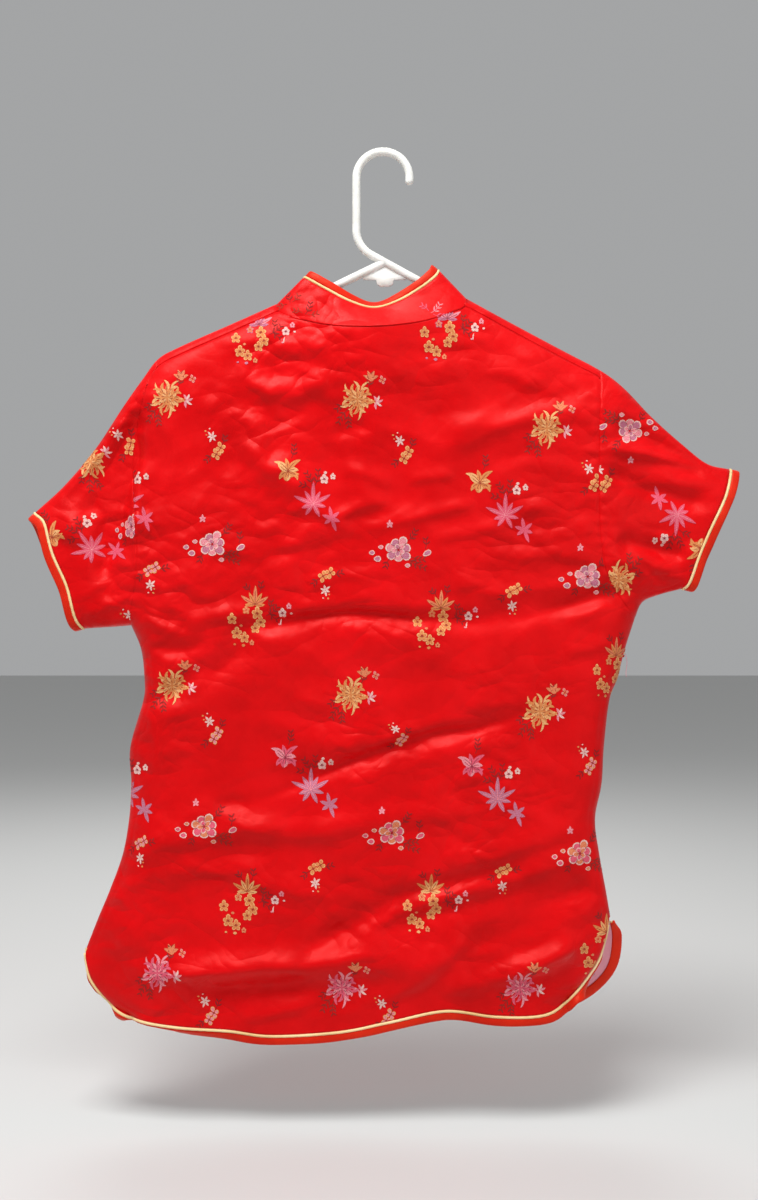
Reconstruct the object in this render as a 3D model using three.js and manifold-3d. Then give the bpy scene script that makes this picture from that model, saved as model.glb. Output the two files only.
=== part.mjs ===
// A short-sleeved cheongsam top of lined satin brocade, hung on a tubular plastic hanger.
//
// Millimetres, +Z up. The origin is the inside top of the hanger's hook, where a rail carries it.
// The garment's back faces -Y and its front faces +Y; +X is the wearer's right.
//
// The cloth hangs flat, as a pillow of two faces: at each place (x, z) the back lies at y = -depth and
// the front at y = +depth. The depth closes to nothing along the folded edges (shoulders, sleeve tops,
// underarms and side seams) and stays open at the neck, the cuffs and the hem. Each panel is a patch
// between its own cut edges, laid on that pillow and given its thickness.
import * as THREE from "three";
import { mergeVertices } from "three/addons/utils/BufferGeometryUtils.js";
import Module from "manifold-3d";

// ---------------------------------------------------------------- driving dimensions
const CLOTH = 1.4; // brocade with its lining
const COLLAR_CLOTH = 2.0; // stiffened stand collar
const SEAM = 0.3; // gap at a seam
const HALF = SEAM / 2;
const TRIM_GAP = 0.5; // gap on each side of the piping
const PIPING = 2.2; // piping's diameter
const BINDING_WIDTH = 6.3;
const BINDING_CLOTH = 2.0;
const PIPING_SIDES = 5;
const TAPER_LENGTH = 16; // how far from its end an open binding narrows
const ON_EDGE = 0.06; // closer than this to a folded edge is on it
const EDGE_ROUND = 30; // how far from a folded edge the depth is still rising
const SHOULDER_WRAP = 9; // how far the front reaches over the shoulder to its seam
const COLLAR_CORNER = 13; // round corner at each end of the collar
const CORNER_STOPS = [1.2, 3, 5.5, 9, 13]; // extra points from each end round that corner
const COLLAR_TRIM_START = 0.35; // the end trims start this far up the collar's first row
const COLLAR_END = 10.6; // each end of the collar's cloth from the centre front
const COLLAR_LIFT = { level: 0.5, steep: 2.5, fold: 1.2, foldReach: 8 }; // the collar above the neck edge
const ARMHOLE_GAP = 0.9; // at its widest, where the armhole's chords bend most
const OVERLAP = 25; // how far the underlap reaches below the front's opening edge
const UNDERLAP_INSET = CLOTH + 1.6; // how far the underlap lies inside the front
const UNDERLAP_EASE = 16; // how far from the armhole and the fold that inset grows
const LINING_CLOTH = 1.0;

const TUBE_RADIUS = 3.8; // the hanger's tube
const TUBE_SIDES = 8;
const CAP_STOPS = [0.45, 0.8, 0.97]; // the round ends' rings, in radii past the end
const HOOK_RADIUS = 24.2; // the hook's centre line
const HANGER_END_RADIUS = 13; // the turn at each end of the hanger
const GUSSET_THICKNESS = 2.4;

const RED = 0xd8121a;
const CREAM = 0xf0cf98;
const PINK = 0xe59aa4;
const WHITE = 0xe9e8e2;

// ---------------------------------------------------------------- outline tables
// Side seams and slit edges, from the underarm down: left and right edge at each height.
const SIDE_ROWS = [
  { z: -427, left: -229, right: 229 },
  { z: -449, left: -220, right: 220 },
  { z: -476, left: -217, right: 213 },
  { z: -495, left: -218, right: 206 },
  { z: -538, left: -230, right: 201 },
  { z: -571, left: -229, right: 199 },
  { z: -603, left: -231, right: 193 },
  { z: -636, left: -237, right: 197 },
  { z: -669, left: -249, right: 203 },
  { z: -693, left: -259, right: 207 },
  { z: -721, left: -270, right: 205 },
];
const RIGHT_UNDERARM = { x: 229, z: -421 };
const SLIT_TOP = { left: -721, right: -693 };
const HEM_CORNER = { left: -757, right: -750 }; // where the slit edges turn into the hem

// The folded top edge: along the shoulder from the neck, over the hanger's end and down the sleeve.
const TOP_LEFT = [
  { x: -96, z: -134 },
  { x: -142, z: -154.5 },
  { x: -184, z: -173 },
  { x: -204, z: -184 },
  { x: -218, z: -202 },
  { x: -237, z: -229 },
  { x: -262, z: -267 },
  { x: -290, z: -300 },
  { x: -316, z: -324 },
];
const TOP_RIGHT = [
  { x: 76, z: -129.5 },
  { x: 120, z: -153.5 },
  { x: 164, z: -177 },
  { x: 197, z: -194.5 },
  { x: 219, z: -211 },
  { x: 245, z: -238 },
  { x: 273, z: -263 },
  { x: 295, z: -280 },
  { x: 315, z: -285 },
];
// The underarm fold, from the side seam out to the cuff.
const UNDER_LEFT = [
  { x: -229, z: -427 },
  { x: -240, z: -428 },
  { x: -256, z: -429 },
  { x: -271, z: -430 },
];
const UNDER_RIGHT = [
  { x: 229, z: -421 },
  { x: 236, z: -406 },
  { x: 252, z: -399 },
  { x: 271, z: -394 },
];
// Armhole seams, from the shoulder down to the underarm.
const ARMHOLE_LEFT = [
  { x: -204, z: -184 },
  { x: -213, z: -210 },
  { x: -224, z: -252 },
  { x: -227, z: -294 },
  { x: -223, z: -335 },
  { x: -222, z: -376 },
  { x: -229, z: -427 },
];
const ARMHOLE_RIGHT = [
  { x: 197, z: -194.5 },
  { x: 195, z: -236 },
  { x: 194, z: -285 },
  { x: 195, z: -340 },
  { x: 200, z: -376 },
  { x: 211, z: -398 },
  { x: 229, z: -421 },
];
// Cuff seams, from the sleeve's top fold to its underarm fold. front is how far the front half stands past.
const CUFF_LEFT = [
  { x: -316, z: -324, front: 0 },
  { x: -305, z: -334, front: -6 },
  { x: -297, z: -362, front: -4 },
  { x: -284, z: -392, front: 0 },
  { x: -277, z: -420, front: 0 },
  { x: -271, z: -430, front: 0 },
];
const CUFF_RIGHT = [
  { x: 315, z: -285, front: 0 },
  { x: 308, z: -310, front: 0 },
  { x: 296, z: -336, front: 1 },
  { x: 284, z: -364, front: 0 },
  { x: 276, z: -388, front: 0 },
  { x: 271, z: -394, front: 0 },
];
// The hem's cut edge from slit to slit.
const HEM_BACK = [
  { x: -270, z: -721 },
  { x: -269.6, z: -731 },
  { x: -263.5, z: -749 },
  { x: -246.6, z: -769.5 },
  { x: -226.6, z: -781 },
  { x: -185, z: -787 },
  { x: -139, z: -790 },
  { x: -100, z: -794.5 },
  { x: -40, z: -791 },
  { x: 6, z: -782 },
  { x: 56, z: -772 },
  { x: 100, z: -777 },
  { x: 142, z: -777 },
  { x: 163, z: -768 },
  { x: 178, z: -753 },
  { x: 193, z: -732 },
  { x: 201, z: -713 },
  { x: 205.6, z: -693 },
];
const HEM_FRONT = [
  { x: -270, z: -721 },
  { x: -263, z: -731 },
  { x: -254, z: -746 },
  { x: -240, z: -761 },
  { x: -219, z: -772 },
  { x: -184, z: -780 },
  { x: -139, z: -786 },
  { x: -100, z: -791 },
  { x: -40, z: -789 },
  { x: 6, z: -780 },
  { x: 56, z: -771 },
  { x: 110, z: -776 },
  { x: 147, z: -773 },
  { x: 172, z: -763 },
  { x: 191, z: -749 },
  { x: 204, z: -734 },
  { x: 208, z: -713 },
  { x: 206, z: -693 },
];
// Necklines between the two shoulder folds, and the front's opening edge from the neck to the side seam.
const NECK_BACK = [
  { x: -96, z: -134 },
  { x: -95.6, z: -139 },
  { x: -93.6, z: -143.6 },
  { x: -85, z: -147.6 },
  { x: -70, z: -152 },
  { x: -46, z: -156.8 },
  { x: -10, z: -158.5 },
  { x: 22, z: -155.5 },
  { x: 46, z: -150 },
  { x: 64, z: -143 },
  { x: 73, z: -139 },
  { x: 75.6, z: -134.4 },
  { x: 76, z: -129.5 },
];
const NECK_FRONT = [
  { x: -96, z: -134 },
  { x: -91, z: -160 },
  { x: -66, z: -190 },
  { x: -36, z: -205 },
  { x: -10, z: -209 },
];
const NECK_UNDERLAP = [
  { x: -10, z: -209 },
  { x: 18, z: -204 },
  { x: 50, z: -187 },
  { x: 72, z: -157 },
  { x: 76, z: -129.5 },
];
const OPENING = [
  { x: -10, z: -209 },
  { x: 6, z: -238 },
  { x: 38, z: -270 },
  { x: 80, z: -304 },
  { x: 118, z: -345 },
  { x: 150, z: -388 },
  { x: 179, z: -424 },
  { x: 203, z: -446 },
  { x: 219, z: -454 },
];
// The collar's top edge: the y of each half, and its line from fold to fold.
const COLLAR_TOP_BACK = [
  { x: -73, y: 0, z: -112.5 },
  { x: -70, y: -7, z: -113.5 },
  { x: -52, y: -11, z: -124 },
  { x: -30, y: -11, z: -135 },
  { x: -8, y: -9, z: -140 },
  { x: 15, y: -11, z: -134 },
  { x: 36, y: -11, z: -122 },
  { x: 49, y: -7, z: -111 },
  { x: 52, y: 0, z: -105 },
];
const COLLAR_TOP_RIGHT_FRONT = [
  { x: 52, y: 0, z: -105 },
  { x: 50, y: 8, z: -116 },
  { x: 36, y: 17, z: -144 },
  { x: 18, y: 20.5, z: -162 },
  { x: 0.8, y: 21.5, z: -171 },
];
const COLLAR_TOP_LEFT_FRONT = [
  { x: -20.8, y: 21.5, z: -172 },
  { x: -38, y: 20.5, z: -164 },
  { x: -56, y: 17, z: -148 },
  { x: -70, y: 8, z: -121 },
  { x: -73, y: 0, z: -112.5 },
];

// Half depth of the hanging cloth by height, and the fuller ring at the neck.
const DEPTH_ROWS = [
  { z: -120, depth: 10.5 },
  { z: -180, depth: 12 },
  { z: -230, depth: 15 },
  { z: -300, depth: 17 },
  { z: -440, depth: 17 },
  { z: -560, depth: 15.5 },
  { z: -650, depth: 17 },
  { z: -800, depth: 18 },
];
const NECK_BULGE = { x: -10, z: -168, width: 62, height: 52, depth: 13 };
const SLEEVE_FLATTENING = { from: 205, to: 255, share: 0.3 };
// The lining's place on the front: rows up from the hem, and its distance in from the slit's edge.
const LINING = { rows: { from: 1, to: 8 }, inset: 14, width: 88, columns: 8, slack: 1.0 };
// The back hem's binding curls under towards the left corner.
const CURL = [
  { x: -221, degrees: 95 },
  { x: -176, degrees: 52 },
  { x: -121, degrees: 0 },
];
const SLIT_DEPTH_SHARE = 0.4; // how open the two panels are at a slit's edge

// The largest folds: a ridge (height above 0) or trough from one point to the other.
const FOLD_STRENGTH = 1.4;
const FOLD_END = 0.12; // share of its length over which a fold dies out past each end
const FOLDS_BACK = [
  { x0: -136, z0: -432, x1: -35, z1: -415, height: -3.0, width: 9 },
  { x0: -35, z0: -415, x1: 80, z1: -424, height: -3.0, width: 9 },
  { x0: 80, z0: -424, x1: 218, z1: -397, height: -3.2, width: 9 },
  { x0: -200, z0: -494, x1: -118, z1: -442, height: -3.6, width: 11 },
  { x0: -90, z0: -568, x1: 120, z1: -507, height: -3.2, width: 10 },
  { x0: -215, z0: -624, x1: -95, z1: -606, height: 3.0, width: 12 },
  { x0: -60, z0: -610, x1: 60, z1: -592, height: 2.6, width: 12 },
  { x0: -75, z0: -728, x1: 25, z1: -668, height: -4.0, width: 12 },
  { x0: 25, z0: -668, x1: 130, z1: -645, height: -3.6, width: 12 },
  { x0: -190, z0: -742, x1: 40, z1: -728, height: 4.0, width: 15 },
  { x0: 75, z0: -712, x1: 190, z1: -662, height: -4.2, width: 12 },
  { x0: 60, z0: -752, x1: 170, z1: -716, height: 3.8, width: 13 },
  { x0: -130, z0: -262, x1: -70, z1: -305, height: 2.6, width: 13 },
  { x0: 60, z0: -250, x1: 190, z1: -235, height: 2.8, width: 13 },
];
const FOLDS_FRONT = [
  { x0: -150, z0: -300, x1: -60, z1: -380, height: 2.8, width: 14 },
  { x0: 30, z0: -330, x1: 150, z1: -430, height: -3.0, width: 12 },
  { x0: -180, z0: -470, x1: 60, z1: -520, height: -3.2, width: 11 },
  { x0: -60, z0: -600, x1: 150, z1: -560, height: 3.0, width: 13 },
  { x0: -190, z0: -660, x1: -20, z1: -700, height: 3.6, width: 14 },
  { x0: 20, z0: -690, x1: 160, z1: -740, height: -3.6, width: 13 },
];
const FOLDS_SLEEVES = [
  { x0: -222, z0: -232, x1: -252, z1: -390, height: -6.0, width: 11 },
  { x0: -262, z0: -300, x1: -285, z1: -350, height: 3.0, width: 12 },
  { x0: 214, z0: -246, x1: 292, z1: -284, height: -4.0, width: 10 },
  { x0: 205, z0: -292, x1: 290, z1: -318, height: -3.0, width: 10 },
  { x0: 214, z0: -352, x1: 272, z1: -362, height: -3.2, width: 9 },
];

// The hanger's corners, in its own plane, and the plate that braces them under the hook.
const HANGER = {
  hookCentre: { x: 0, z: -20.3 },
  stemCornerZ: -82.6,
  neckRadius: 25.5,
  rightEnd: new THREE.Vector3(210, 0, -211.4),
  rightLow: new THREE.Vector3(213, 0, -237.5),
  leftLow: new THREE.Vector3(-207, 0, -222),
  leftEnd: new THREE.Vector3(-203, 0, -193),
  leftKink: new THREE.Vector3(-98, 0, -145),
  kinkRadius: 60,
  hookTip: -6, // degrees below the level of the hook's centre
  junction: new THREE.Vector3(1.7, 0, -96.8),
  gusset: [
    { x: 23, z: -107.5 },
    { x: 21, z: -112.8 },
    { x: 10, z: -112.8 },
    { x: 9, z: -117 },
    { x: 5.5, z: -118.9 },
    { x: -2, z: -118.9 },
    { x: -5.5, z: -117 },
    { x: -6.5, z: -112.8 },
    { x: -18, z: -112.8 },
    { x: -20, z: -106.5 },
  ],
  hole: { x: 1, z: -114.4, radius: 1 },
};
// tip is how far from the middle a frog starts to narrow, and waist its width under the knot.
const FROG = { lift: 1.0, thickness: 2.2, width: 6, knot: 4, spans: 10, tip: 0.82, waist: 0.8 };
// A frog's section: across in half widths, up in half thicknesses.
const FROG_SECTION = [
  { across: -1, up: -1 },
  { across: 0, up: -1 },
  { across: 1, up: -1 },
  { across: 1, up: 0.2 },
  { across: 0.4, up: 1 },
  { across: -0.4, up: 1 },
  { across: -1, up: 0.2 },
];
const FROGS = [
  { name: "frog_neck", share: 0.035, length: 44 },
  { name: "frog_breast", share: 0.45, length: 52 },
  { name: "frog_side", share: 0.9, length: 44 },
];

// ---------------------------------------------------------------- small mathematics
const lerp = THREE.MathUtils.lerp;
const flat = (x, z) => new THREE.Vector3(x, 0, z);
const smooth = (t) => THREE.MathUtils.smoothstep(t, 0, 1);
const fractions = (count) => Array.from({ length: count + 1 }, (_, i) => i / count);

// A smooth path through the rows of a table.
function track(rows) {
  const points = rows.map((row) => new THREE.Vector3(row.x, row.y ?? row.front ?? 0, row.z));
  return new THREE.CatmullRomCurve3(points, false, "catmullrom", 0.5);
}

// One column of a table against its heights.
function column(rows, name, z) {
  const last = rows.length - 1;
  if (z >= rows[0].z) return rows[0][name];
  if (z <= rows[last].z) return rows[last][name];
  const i = rows.findIndex((row) => row.z < z) - 1;
  return lerp(rows[i][name], rows[i + 1][name], (rows[i].z - z) / (rows[i].z - rows[i + 1].z));
}

// The height of a path at x, where the path runs across the garment.
function heightAt(path, x) {
  const last = path.length - 1;
  const rising = path[last].x > path[0].x;
  const at = path.findIndex((p) => (rising ? p.x > x : p.x < x));
  const i = at < 0 ? last - 1 : Math.max(0, at - 1);
  return lerp(path[i].z, path[i + 1].z, (x - path[i].x) / (path[i + 1].x - path[i].x));
}

function distanceTo(path, x, z) {
  let best = Infinity;
  for (let i = 0; i + 1 < path.length; i++) {
    const [a, b] = [path[i], path[i + 1]];
    const [dx, dz] = [b.x - a.x, b.z - a.z];
    const t = THREE.MathUtils.clamp(((x - a.x) * dx + (z - a.z) * dz) / (dx * dx + dz * dz), 0, 1);
    best = Math.min(best, Math.hypot(x - a.x - t * dx, z - a.z - t * dz));
  }
  return best;
}

// ---------------------------------------------------------------- the pillow's depth
const sideTrack = (side) =>
  track(SIDE_ROWS.map((row) => ({ x: row[side], z: row.z })).filter((row) => row.z >= SLIT_TOP[side]));
const SIDE = { left: sideTrack("left"), right: sideTrack("right") };
SIDE.right.points[0].set(RIGHT_UNDERARM.x, 0, RIGHT_UNDERARM.z);
const line = (path, count = 60) => path.getPoints(count);
const TOP = { left: line(track(TOP_LEFT), 90), right: line(track(TOP_RIGHT), 90) };
const UNDER_SLEEVE = { left: line(track(UNDER_LEFT), 12), right: line(track(UNDER_RIGHT), 12) };
const UNDER = {
  left: [...line(SIDE.left).reverse(), ...UNDER_SLEEVE.left.slice(1)],
  right: [...line(SIDE.right).reverse(), ...UNDER_SLEEVE.right.slice(1)],
};
const SLITS = [line(track(HEM_BACK.slice(0, 5)), 20), line(track(HEM_BACK.slice(-5)), 20)];

// From 0 at an edge to 1, as a quarter of an ellipse.
const rise = (distance, reach = EDGE_ROUND) => {
  const s = Math.min(Math.max(distance - ON_EDGE, 0) / reach, 1);
  return Math.sqrt(1 - (1 - s) ** 2);
};

function foldHeight(folds, x, z) {
  let sum = 0;
  for (const fold of folds) {
    const [dx, dz] = [fold.x1 - fold.x0, fold.z1 - fold.z0];
    const along = ((x - fold.x0) * dx + (z - fold.z0) * dz) / (dx * dx + dz * dz);
    const across = ((x - fold.x0) * dz - (z - fold.z0) * dx) / Math.hypot(dx, dz);
    const fromEnd = Math.min(along, 1 - along) + FOLD_END;
    const height = FOLD_STRENGTH * fold.height * smooth(fromEnd / (2 * FOLD_END));
    sum += height * Math.exp(-((across / fold.width) ** 2));
  }
  return sum;
}

function depthAt(x, z, side) {
  const edges = [...Object.values(TOP), ...Object.values(UNDER)];
  const closing = edges.reduce((product, edge) => product * rise(distanceTo(edge, x, z)), 1);
  const slit = Math.min(...SLITS.map((edge) => distanceTo(edge, x, z)));
  const slitShare = lerp(SLIT_DEPTH_SHARE, 1, rise(slit, 2 * EDGE_ROUND));
  const b = NECK_BULGE;
  const bulge = b.depth * Math.exp(-(((x - b.x) / b.width) ** 2) - ((z - b.z) / b.height) ** 2);
  const s = SLEEVE_FLATTENING;
  const sleeveShare = 1 - s.share * smooth((Math.abs(x) - s.from) / (s.to - s.from));
  const full = (column(DEPTH_ROWS, "depth", z) + bulge) * sleeveShare * slitShare;
  const folds = foldHeight(side < 0 ? FOLDS_BACK : FOLDS_FRONT, x, z) + foldHeight(FOLDS_SLEEVES, x, z);
  return closing * (full + folds * closing);
}

// A point of the pillow. On a folded edge the two faces stay half a seam's gap apart.
function onFace(x, z, side) {
  return new THREE.Vector3(x, side * Math.max(depthAt(x, z, side), HALF), z);
}

// ---------------------------------------------------------------- walls and trims
function geometryOf(positions, triangles) {
  const geometry = new THREE.BufferGeometry();
  const numbers = positions.flatMap((p) => p.toArray());
  geometry.setAttribute("position", new THREE.Float32BufferAttribute(numbers, 3));
  if (volumeOf(positions, triangles) < 0) {
    for (let i = 0; i < triangles.length; i += 3) {
      [triangles[i + 1], triangles[i + 2]] = [triangles[i + 2], triangles[i + 1]];
    }
  }
  geometry.setIndex(triangles);
  geometry.computeVertexNormals();
  return geometry;
}

// Six times the volume, below 0 when the triangles face inwards.
function volumeOf(positions, triangles) {
  const cross = new THREE.Vector3();
  let sum = 0;
  for (let i = 0; i < triangles.length; i += 3) {
    const [a, b, c] = [positions[triangles[i]], positions[triangles[i + 1]], positions[triangles[i + 2]]];
    sum += a.dot(cross.crossVectors(b, c));
  }
  return sum;
}

// Vertex normals of a grid of points, one row per list; a ring grid closes on itself along each row.
function gridNormals(grid, ring = false) {
  const [rows, columns] = [grid.length, grid[0].length];
  const at = (i, j) => grid[THREE.MathUtils.clamp(i, 0, rows - 1)][
    ring ? (j + columns) % columns : THREE.MathUtils.clamp(j, 0, columns - 1)];
  return grid.map((row, i) => row.map((_, j) => {
    const up = at(i + 1, j).clone().sub(at(i - 1, j));
    const across = at(i, j + 1).clone().sub(at(i, j - 1));
    return across.cross(up).normalize();
  }));
}

// A wall of cloth: the grid's own surface, and the same surface moved in by its thickness.
function wall(grid, normals, thickness, ring = false) {
  const [rows, columns] = [grid.length, grid[0].length];
  const outer = grid.flat();
  const inner = outer.map((p, k) => p.clone().addScaledVector(normals.flat()[k], -thickness));
  const triangles = [];
  const back = outer.length;
  const quad = (a, b, c, d) => triangles.push(a, b, c, a, c, d);
  const index = (i, j) => i * columns + (j % columns);
  const spans = ring ? columns : columns - 1;
  for (let i = 0; i + 1 < rows; i++) {
    for (let j = 0; j < spans; j++) {
      const [a, b, c, d] = [index(i, j), index(i, j + 1), index(i + 1, j + 1), index(i + 1, j)];
      quad(a, b, c, d);
      quad(back + d, back + c, back + b, back + a);
    }
  }
  for (let j = 0; j < spans; j++) {
    const top = rows - 1;
    quad(index(0, j + 1), index(0, j), back + index(0, j), back + index(0, j + 1));
    quad(index(top, j), index(top, j + 1), back + index(top, j + 1), back + index(top, j));
  }
  if (!ring) {
    for (let i = 0; i + 1 < rows; i++) {
      const end = columns - 1;
      quad(index(i, 0), index(i + 1, 0), back + index(i + 1, 0), back + index(i, 0));
      quad(index(i + 1, end), index(i, end), back + index(i, end), back + index(i + 1, end));
    }
  }
  return geometryOf([...outer, ...inner], triangles);
}

// A closed bar with the same section all along: sections is a list of rings of points.
function bar(sections, closed = false) {
  const [count, sides] = [sections.length, sections[0].length];
  const triangles = [];
  const spans = closed ? count : count - 1;
  for (let i = 0; i < spans; i++) {
    for (let j = 0; j < sides; j++) {
      const [a, b] = [i * sides + j, i * sides + ((j + 1) % sides)];
      const [c, d] = [((i + 1) % count) * sides + ((j + 1) % sides), ((i + 1) % count) * sides + j];
      triangles.push(a, b, c, a, c, d);
    }
  }
  if (!closed) {
    for (let j = 1; j + 1 < sides; j++) {
      triangles.push(0, j + 1, j);
      const last = (count - 1) * sides;
      triangles.push(last, last + j, last + j + 1);
    }
  }
  return geometryOf(sections.flat(), triangles);
}

// The steps of a grid's edge with their frames: the way out along the cloth, and the cloth's normal.
function edgeFrames(steps, closed = false) {
  const count = steps.length;
  const at = (i) => steps[closed ? (i + count) % count : THREE.MathUtils.clamp(i, 0, count - 1)].point;
  return steps.map(({ point, normal, inside }, i) => {
    const along = at(i + 1).clone().sub(at(i - 1)).normalize();
    const out = along.clone().cross(normal).normalize();
    if (out.dot(point.clone().sub(inside)) < 0) out.negate();
    return { point, out, normal: normal.clone().addScaledVector(along, -normal.dot(along)).normalize() };
  });
}

function pipingOn(frames, thickness, closed = false) {
  const radius = PIPING / 2;
  const corners = fractions(PIPING_SIDES).slice(0, -1).map((t) => t * 2 * Math.PI);
  return bar(frames.map(({ point, out, normal }) => corners.map((angle) =>
    point.clone()
      .addScaledVector(out, TRIM_GAP + radius + radius * Math.cos(angle))
      .addScaledVector(normal, radius * Math.sin(angle) - thickness / 2))), closed);
}

// The binding outside the piping. An open one narrows to taper of its width at its ends, and roll turns
// it under, in degrees, at a point.
function bindingOn(frames, thickness, { closed = false, roll = () => 0, taper = 1 }) {
  const start = 2 * TRIM_GAP + PIPING;
  const half = BINDING_CLOTH / 2;
  const along = frames.map((_, i) => lengthOf(frames.slice(0, i + 1).map(({ point }) => point)));
  return bar(frames.map(({ point, out, normal }, i) => {
    const angle = THREE.MathUtils.degToRad(roll(point));
    const fromEnd = Math.min(along[i], along.at(-1) - along[i]);
    const width = BINDING_WIDTH * (closed ? 1 : lerp(taper, 1, smooth(fromEnd / TAPER_LENGTH)));
    const pivot = point.clone()
      .addScaledVector(out, start + half * Math.sin(angle))
      .addScaledVector(normal, -thickness / 2);
    const reach = out.clone().multiplyScalar(Math.cos(angle)).addScaledVector(normal, -Math.sin(angle));
    const face = normal.clone().multiplyScalar(Math.cos(angle)).addScaledVector(out, Math.sin(angle));
    const corners = [[0, -half], [width, -half], [width, half], [0, half]];
    return corners.map(([a, b]) => pivot.clone().addScaledVector(reach, a).addScaledVector(face, b));
  }), closed);
}

// ---------------------------------------------------------------- patches between cut edges
// A patch between four edges: bottom and top run left to right, left and right run upwards.
// Each edge is a function from 0 to 1 that gives (x, z) as a Vector3.
function patch({ bottom, top, left, right }, us, vs) {
  const corner = [bottom(0), bottom(1), top(0), top(1)];
  return vs.map((v) => us.map((u) => {
    const blend = bottom(u).multiplyScalar(1 - v).addScaledVector(top(u), v)
      .addScaledVector(left(v), 1 - u).addScaledVector(right(v), u);
    blend.addScaledVector(corner[0], -(1 - u) * (1 - v)).addScaledVector(corner[1], -u * (1 - v));
    return blend.addScaledVector(corner[2], -(1 - u) * v).addScaledVector(corner[3], -u * v);
  }));
}

// Several paths end to end, as one function from 0 to 1 by length.
function joined(...paths) {
  const points = paths.flatMap((path) => path.map((p) => flat(p.x, p.z)));
  const lengths = [0];
  for (let i = 1; i < points.length; i++) {
    lengths.push(lengths[i - 1] + points[i].distanceTo(points[i - 1]));
  }
  const total = lengths.at(-1);
  return (t) => {
    const wanted = THREE.MathUtils.clamp(t, 0, 1) * total;
    const i = Math.max(1, lengths.findIndex((length) => length >= wanted - 1e-9));
    const share = (wanted - lengths[i - 1]) / (lengths[i] - lengths[i - 1] || 1);
    return points[i - 1].clone().lerp(points[i], share);
  };
}

// Paths end to end, each up to its own mark between 0 and 1.
function staged(stages) {
  const parts = stages.map(({ path, to }) => ({ along: joined(path), to }));
  return (t) => {
    const i = Math.max(0, parts.findIndex(({ to }) => t <= to + 1e-9));
    const from = i ? parts[i - 1].to : 0;
    return parts[i].along((t - from) / (parts[i].to - from));
  };
}

const lengthOf = (points) => points.slice(1).reduce((sum, p, i) => sum + p.distanceTo(points[i]), 0);
const shifted = (path, dx) => path.map((p) => flat(p.x + dx, p.z));
const raised = (path, dz) => path.map((p) => flat(p.x, p.z + dz));
const steps = (from, to, count) => fractions(count).map((t) => lerp(from, to, t));
const easedFrom = (from, to, count) => fractions(count).map((t) => lerp(from, to, t ** EDGE_EASE));
const easedTo = (from, to, count) => fractions(count).map((t) => lerp(to, from, (1 - t) ** EDGE_EASE));

// The hem's cut edge in three: up the left slit, along the bottom, up the right slit.
function hemParts(rows) {
  const points = line(track(rows), 170);
  const left = points.findIndex((p) => p.z < HEM_CORNER.left);
  const right = points.findLastIndex((p) => p.z < HEM_CORNER.right);
  return {
    left: points.slice(0, left + 1).reverse(),
    bottom: points.slice(left, right + 1),
    right: points.slice(right),
  };
}

// ---------------------------------------------------------------- the panels' cut lines
const SHOULDER_GAP = HALF + 0.4; // the front's edge above the shoulder seam's line
const ARMHOLE = { left: line(track(ARMHOLE_LEFT), 50), right: line(track(ARMHOLE_RIGHT), 50) };
const sideUp = (side) => line(SIDE[side], 60).reverse();
const SLIT_MARK = 0.13; // where along a panel's side edge the slit's top falls
const ARM_MARK = 0.56; // and the underarm
const SLIT_TRIM_START = 0.55; // the hem trims start this far up the slit's last row
const SLIT_ROWS = steps(0, SLIT_MARK, 6);
const SIDE_ROWS_UP = steps(SLIT_MARK, ARM_MARK, 10).slice(1);
const ARM_TOP = 0.93; // above this the rows follow the turn over the shoulder
const BACK_ROWS = [...SLIT_ROWS, ...SIDE_ROWS_UP, ...steps(ARM_MARK, 1, 10).slice(1)];
const FRONT_ROWS = [...SLIT_ROWS, ...SIDE_ROWS_UP, ...steps(ARM_MARK, ARM_TOP, 7).slice(1)];
const EDGE_EASE = 1.55; // columns crowd towards a folded edge
const TURN_ROWS = [27, 18, 12, SHOULDER_WRAP, 6, 3, 0]; // drops from the front's shoulder seam
const FOLD_ROW = TURN_ROWS.length - 1 - TURN_ROWS.indexOf(SHOULDER_WRAP); // the fold's, from the last
const TURN_HEIGHT = TURN_ROWS[0] / (1 - ARM_TOP) + 1; // the height over which they are shared out

// The neck edge as the front's unfolded cloth has it, from the shoulder seam behind the fold to the centre.
function neckOverFold(rows, backNeck, top) {
  const belowSeam = (p) => p.z < heightAt(top, p.x) - SHOULDER_WRAP;
  const start = rows[0].x < 0 ? backNeck.find(belowSeam) : backNeck.findLast(belowSeam);
  const unfolded = flat(start.x, 2 * heightAt(top, start.x) - start.z - SHOULDER_GAP);
  return line(track([unfolded, ...rows]), 90);
}

const neckBack = line(track(NECK_BACK), 90);
const neckLeft = neckOverFold(NECK_FRONT, neckBack, TOP.left);
const neckRight = neckOverFold([...NECK_UNDERLAP].reverse(), neckBack, TOP.right);
const BACK_COLUMNS = { shoulder: 9, neck: 12 };
const FRONT_COLUMNS = { shoulder: 7, opening: 11 };
const UNDERLAP_COLUMNS = 8; // over its shoulder
const SLEEVE_RINGS = 8;
const UNDERLAP_ROWS = { side: 3, arm: 8, sideMark: 0.3 };
const NECK_STOPS = [5, 9, 12.5, 16, 21, 29, 41, 56, 73, 91, 108]; // from the seam, along the edge

// Shares of the whole top edge: the shoulder's, the neck's stops and the opening's.
function neckShares(neck, before, whole) {
  const total = lengthOf(neck);
  const stops = [...NECK_STOPS.filter((stop) => stop < total - COLLAR_END - 6), total - COLLAR_END, total];
  return stops.map((stop) => (before + stop) / whole);
}

// ---------------------------------------------------------------- back panel
const hemBack = hemParts(HEM_BACK);
const hemFront = hemParts(HEM_FRONT);

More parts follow.
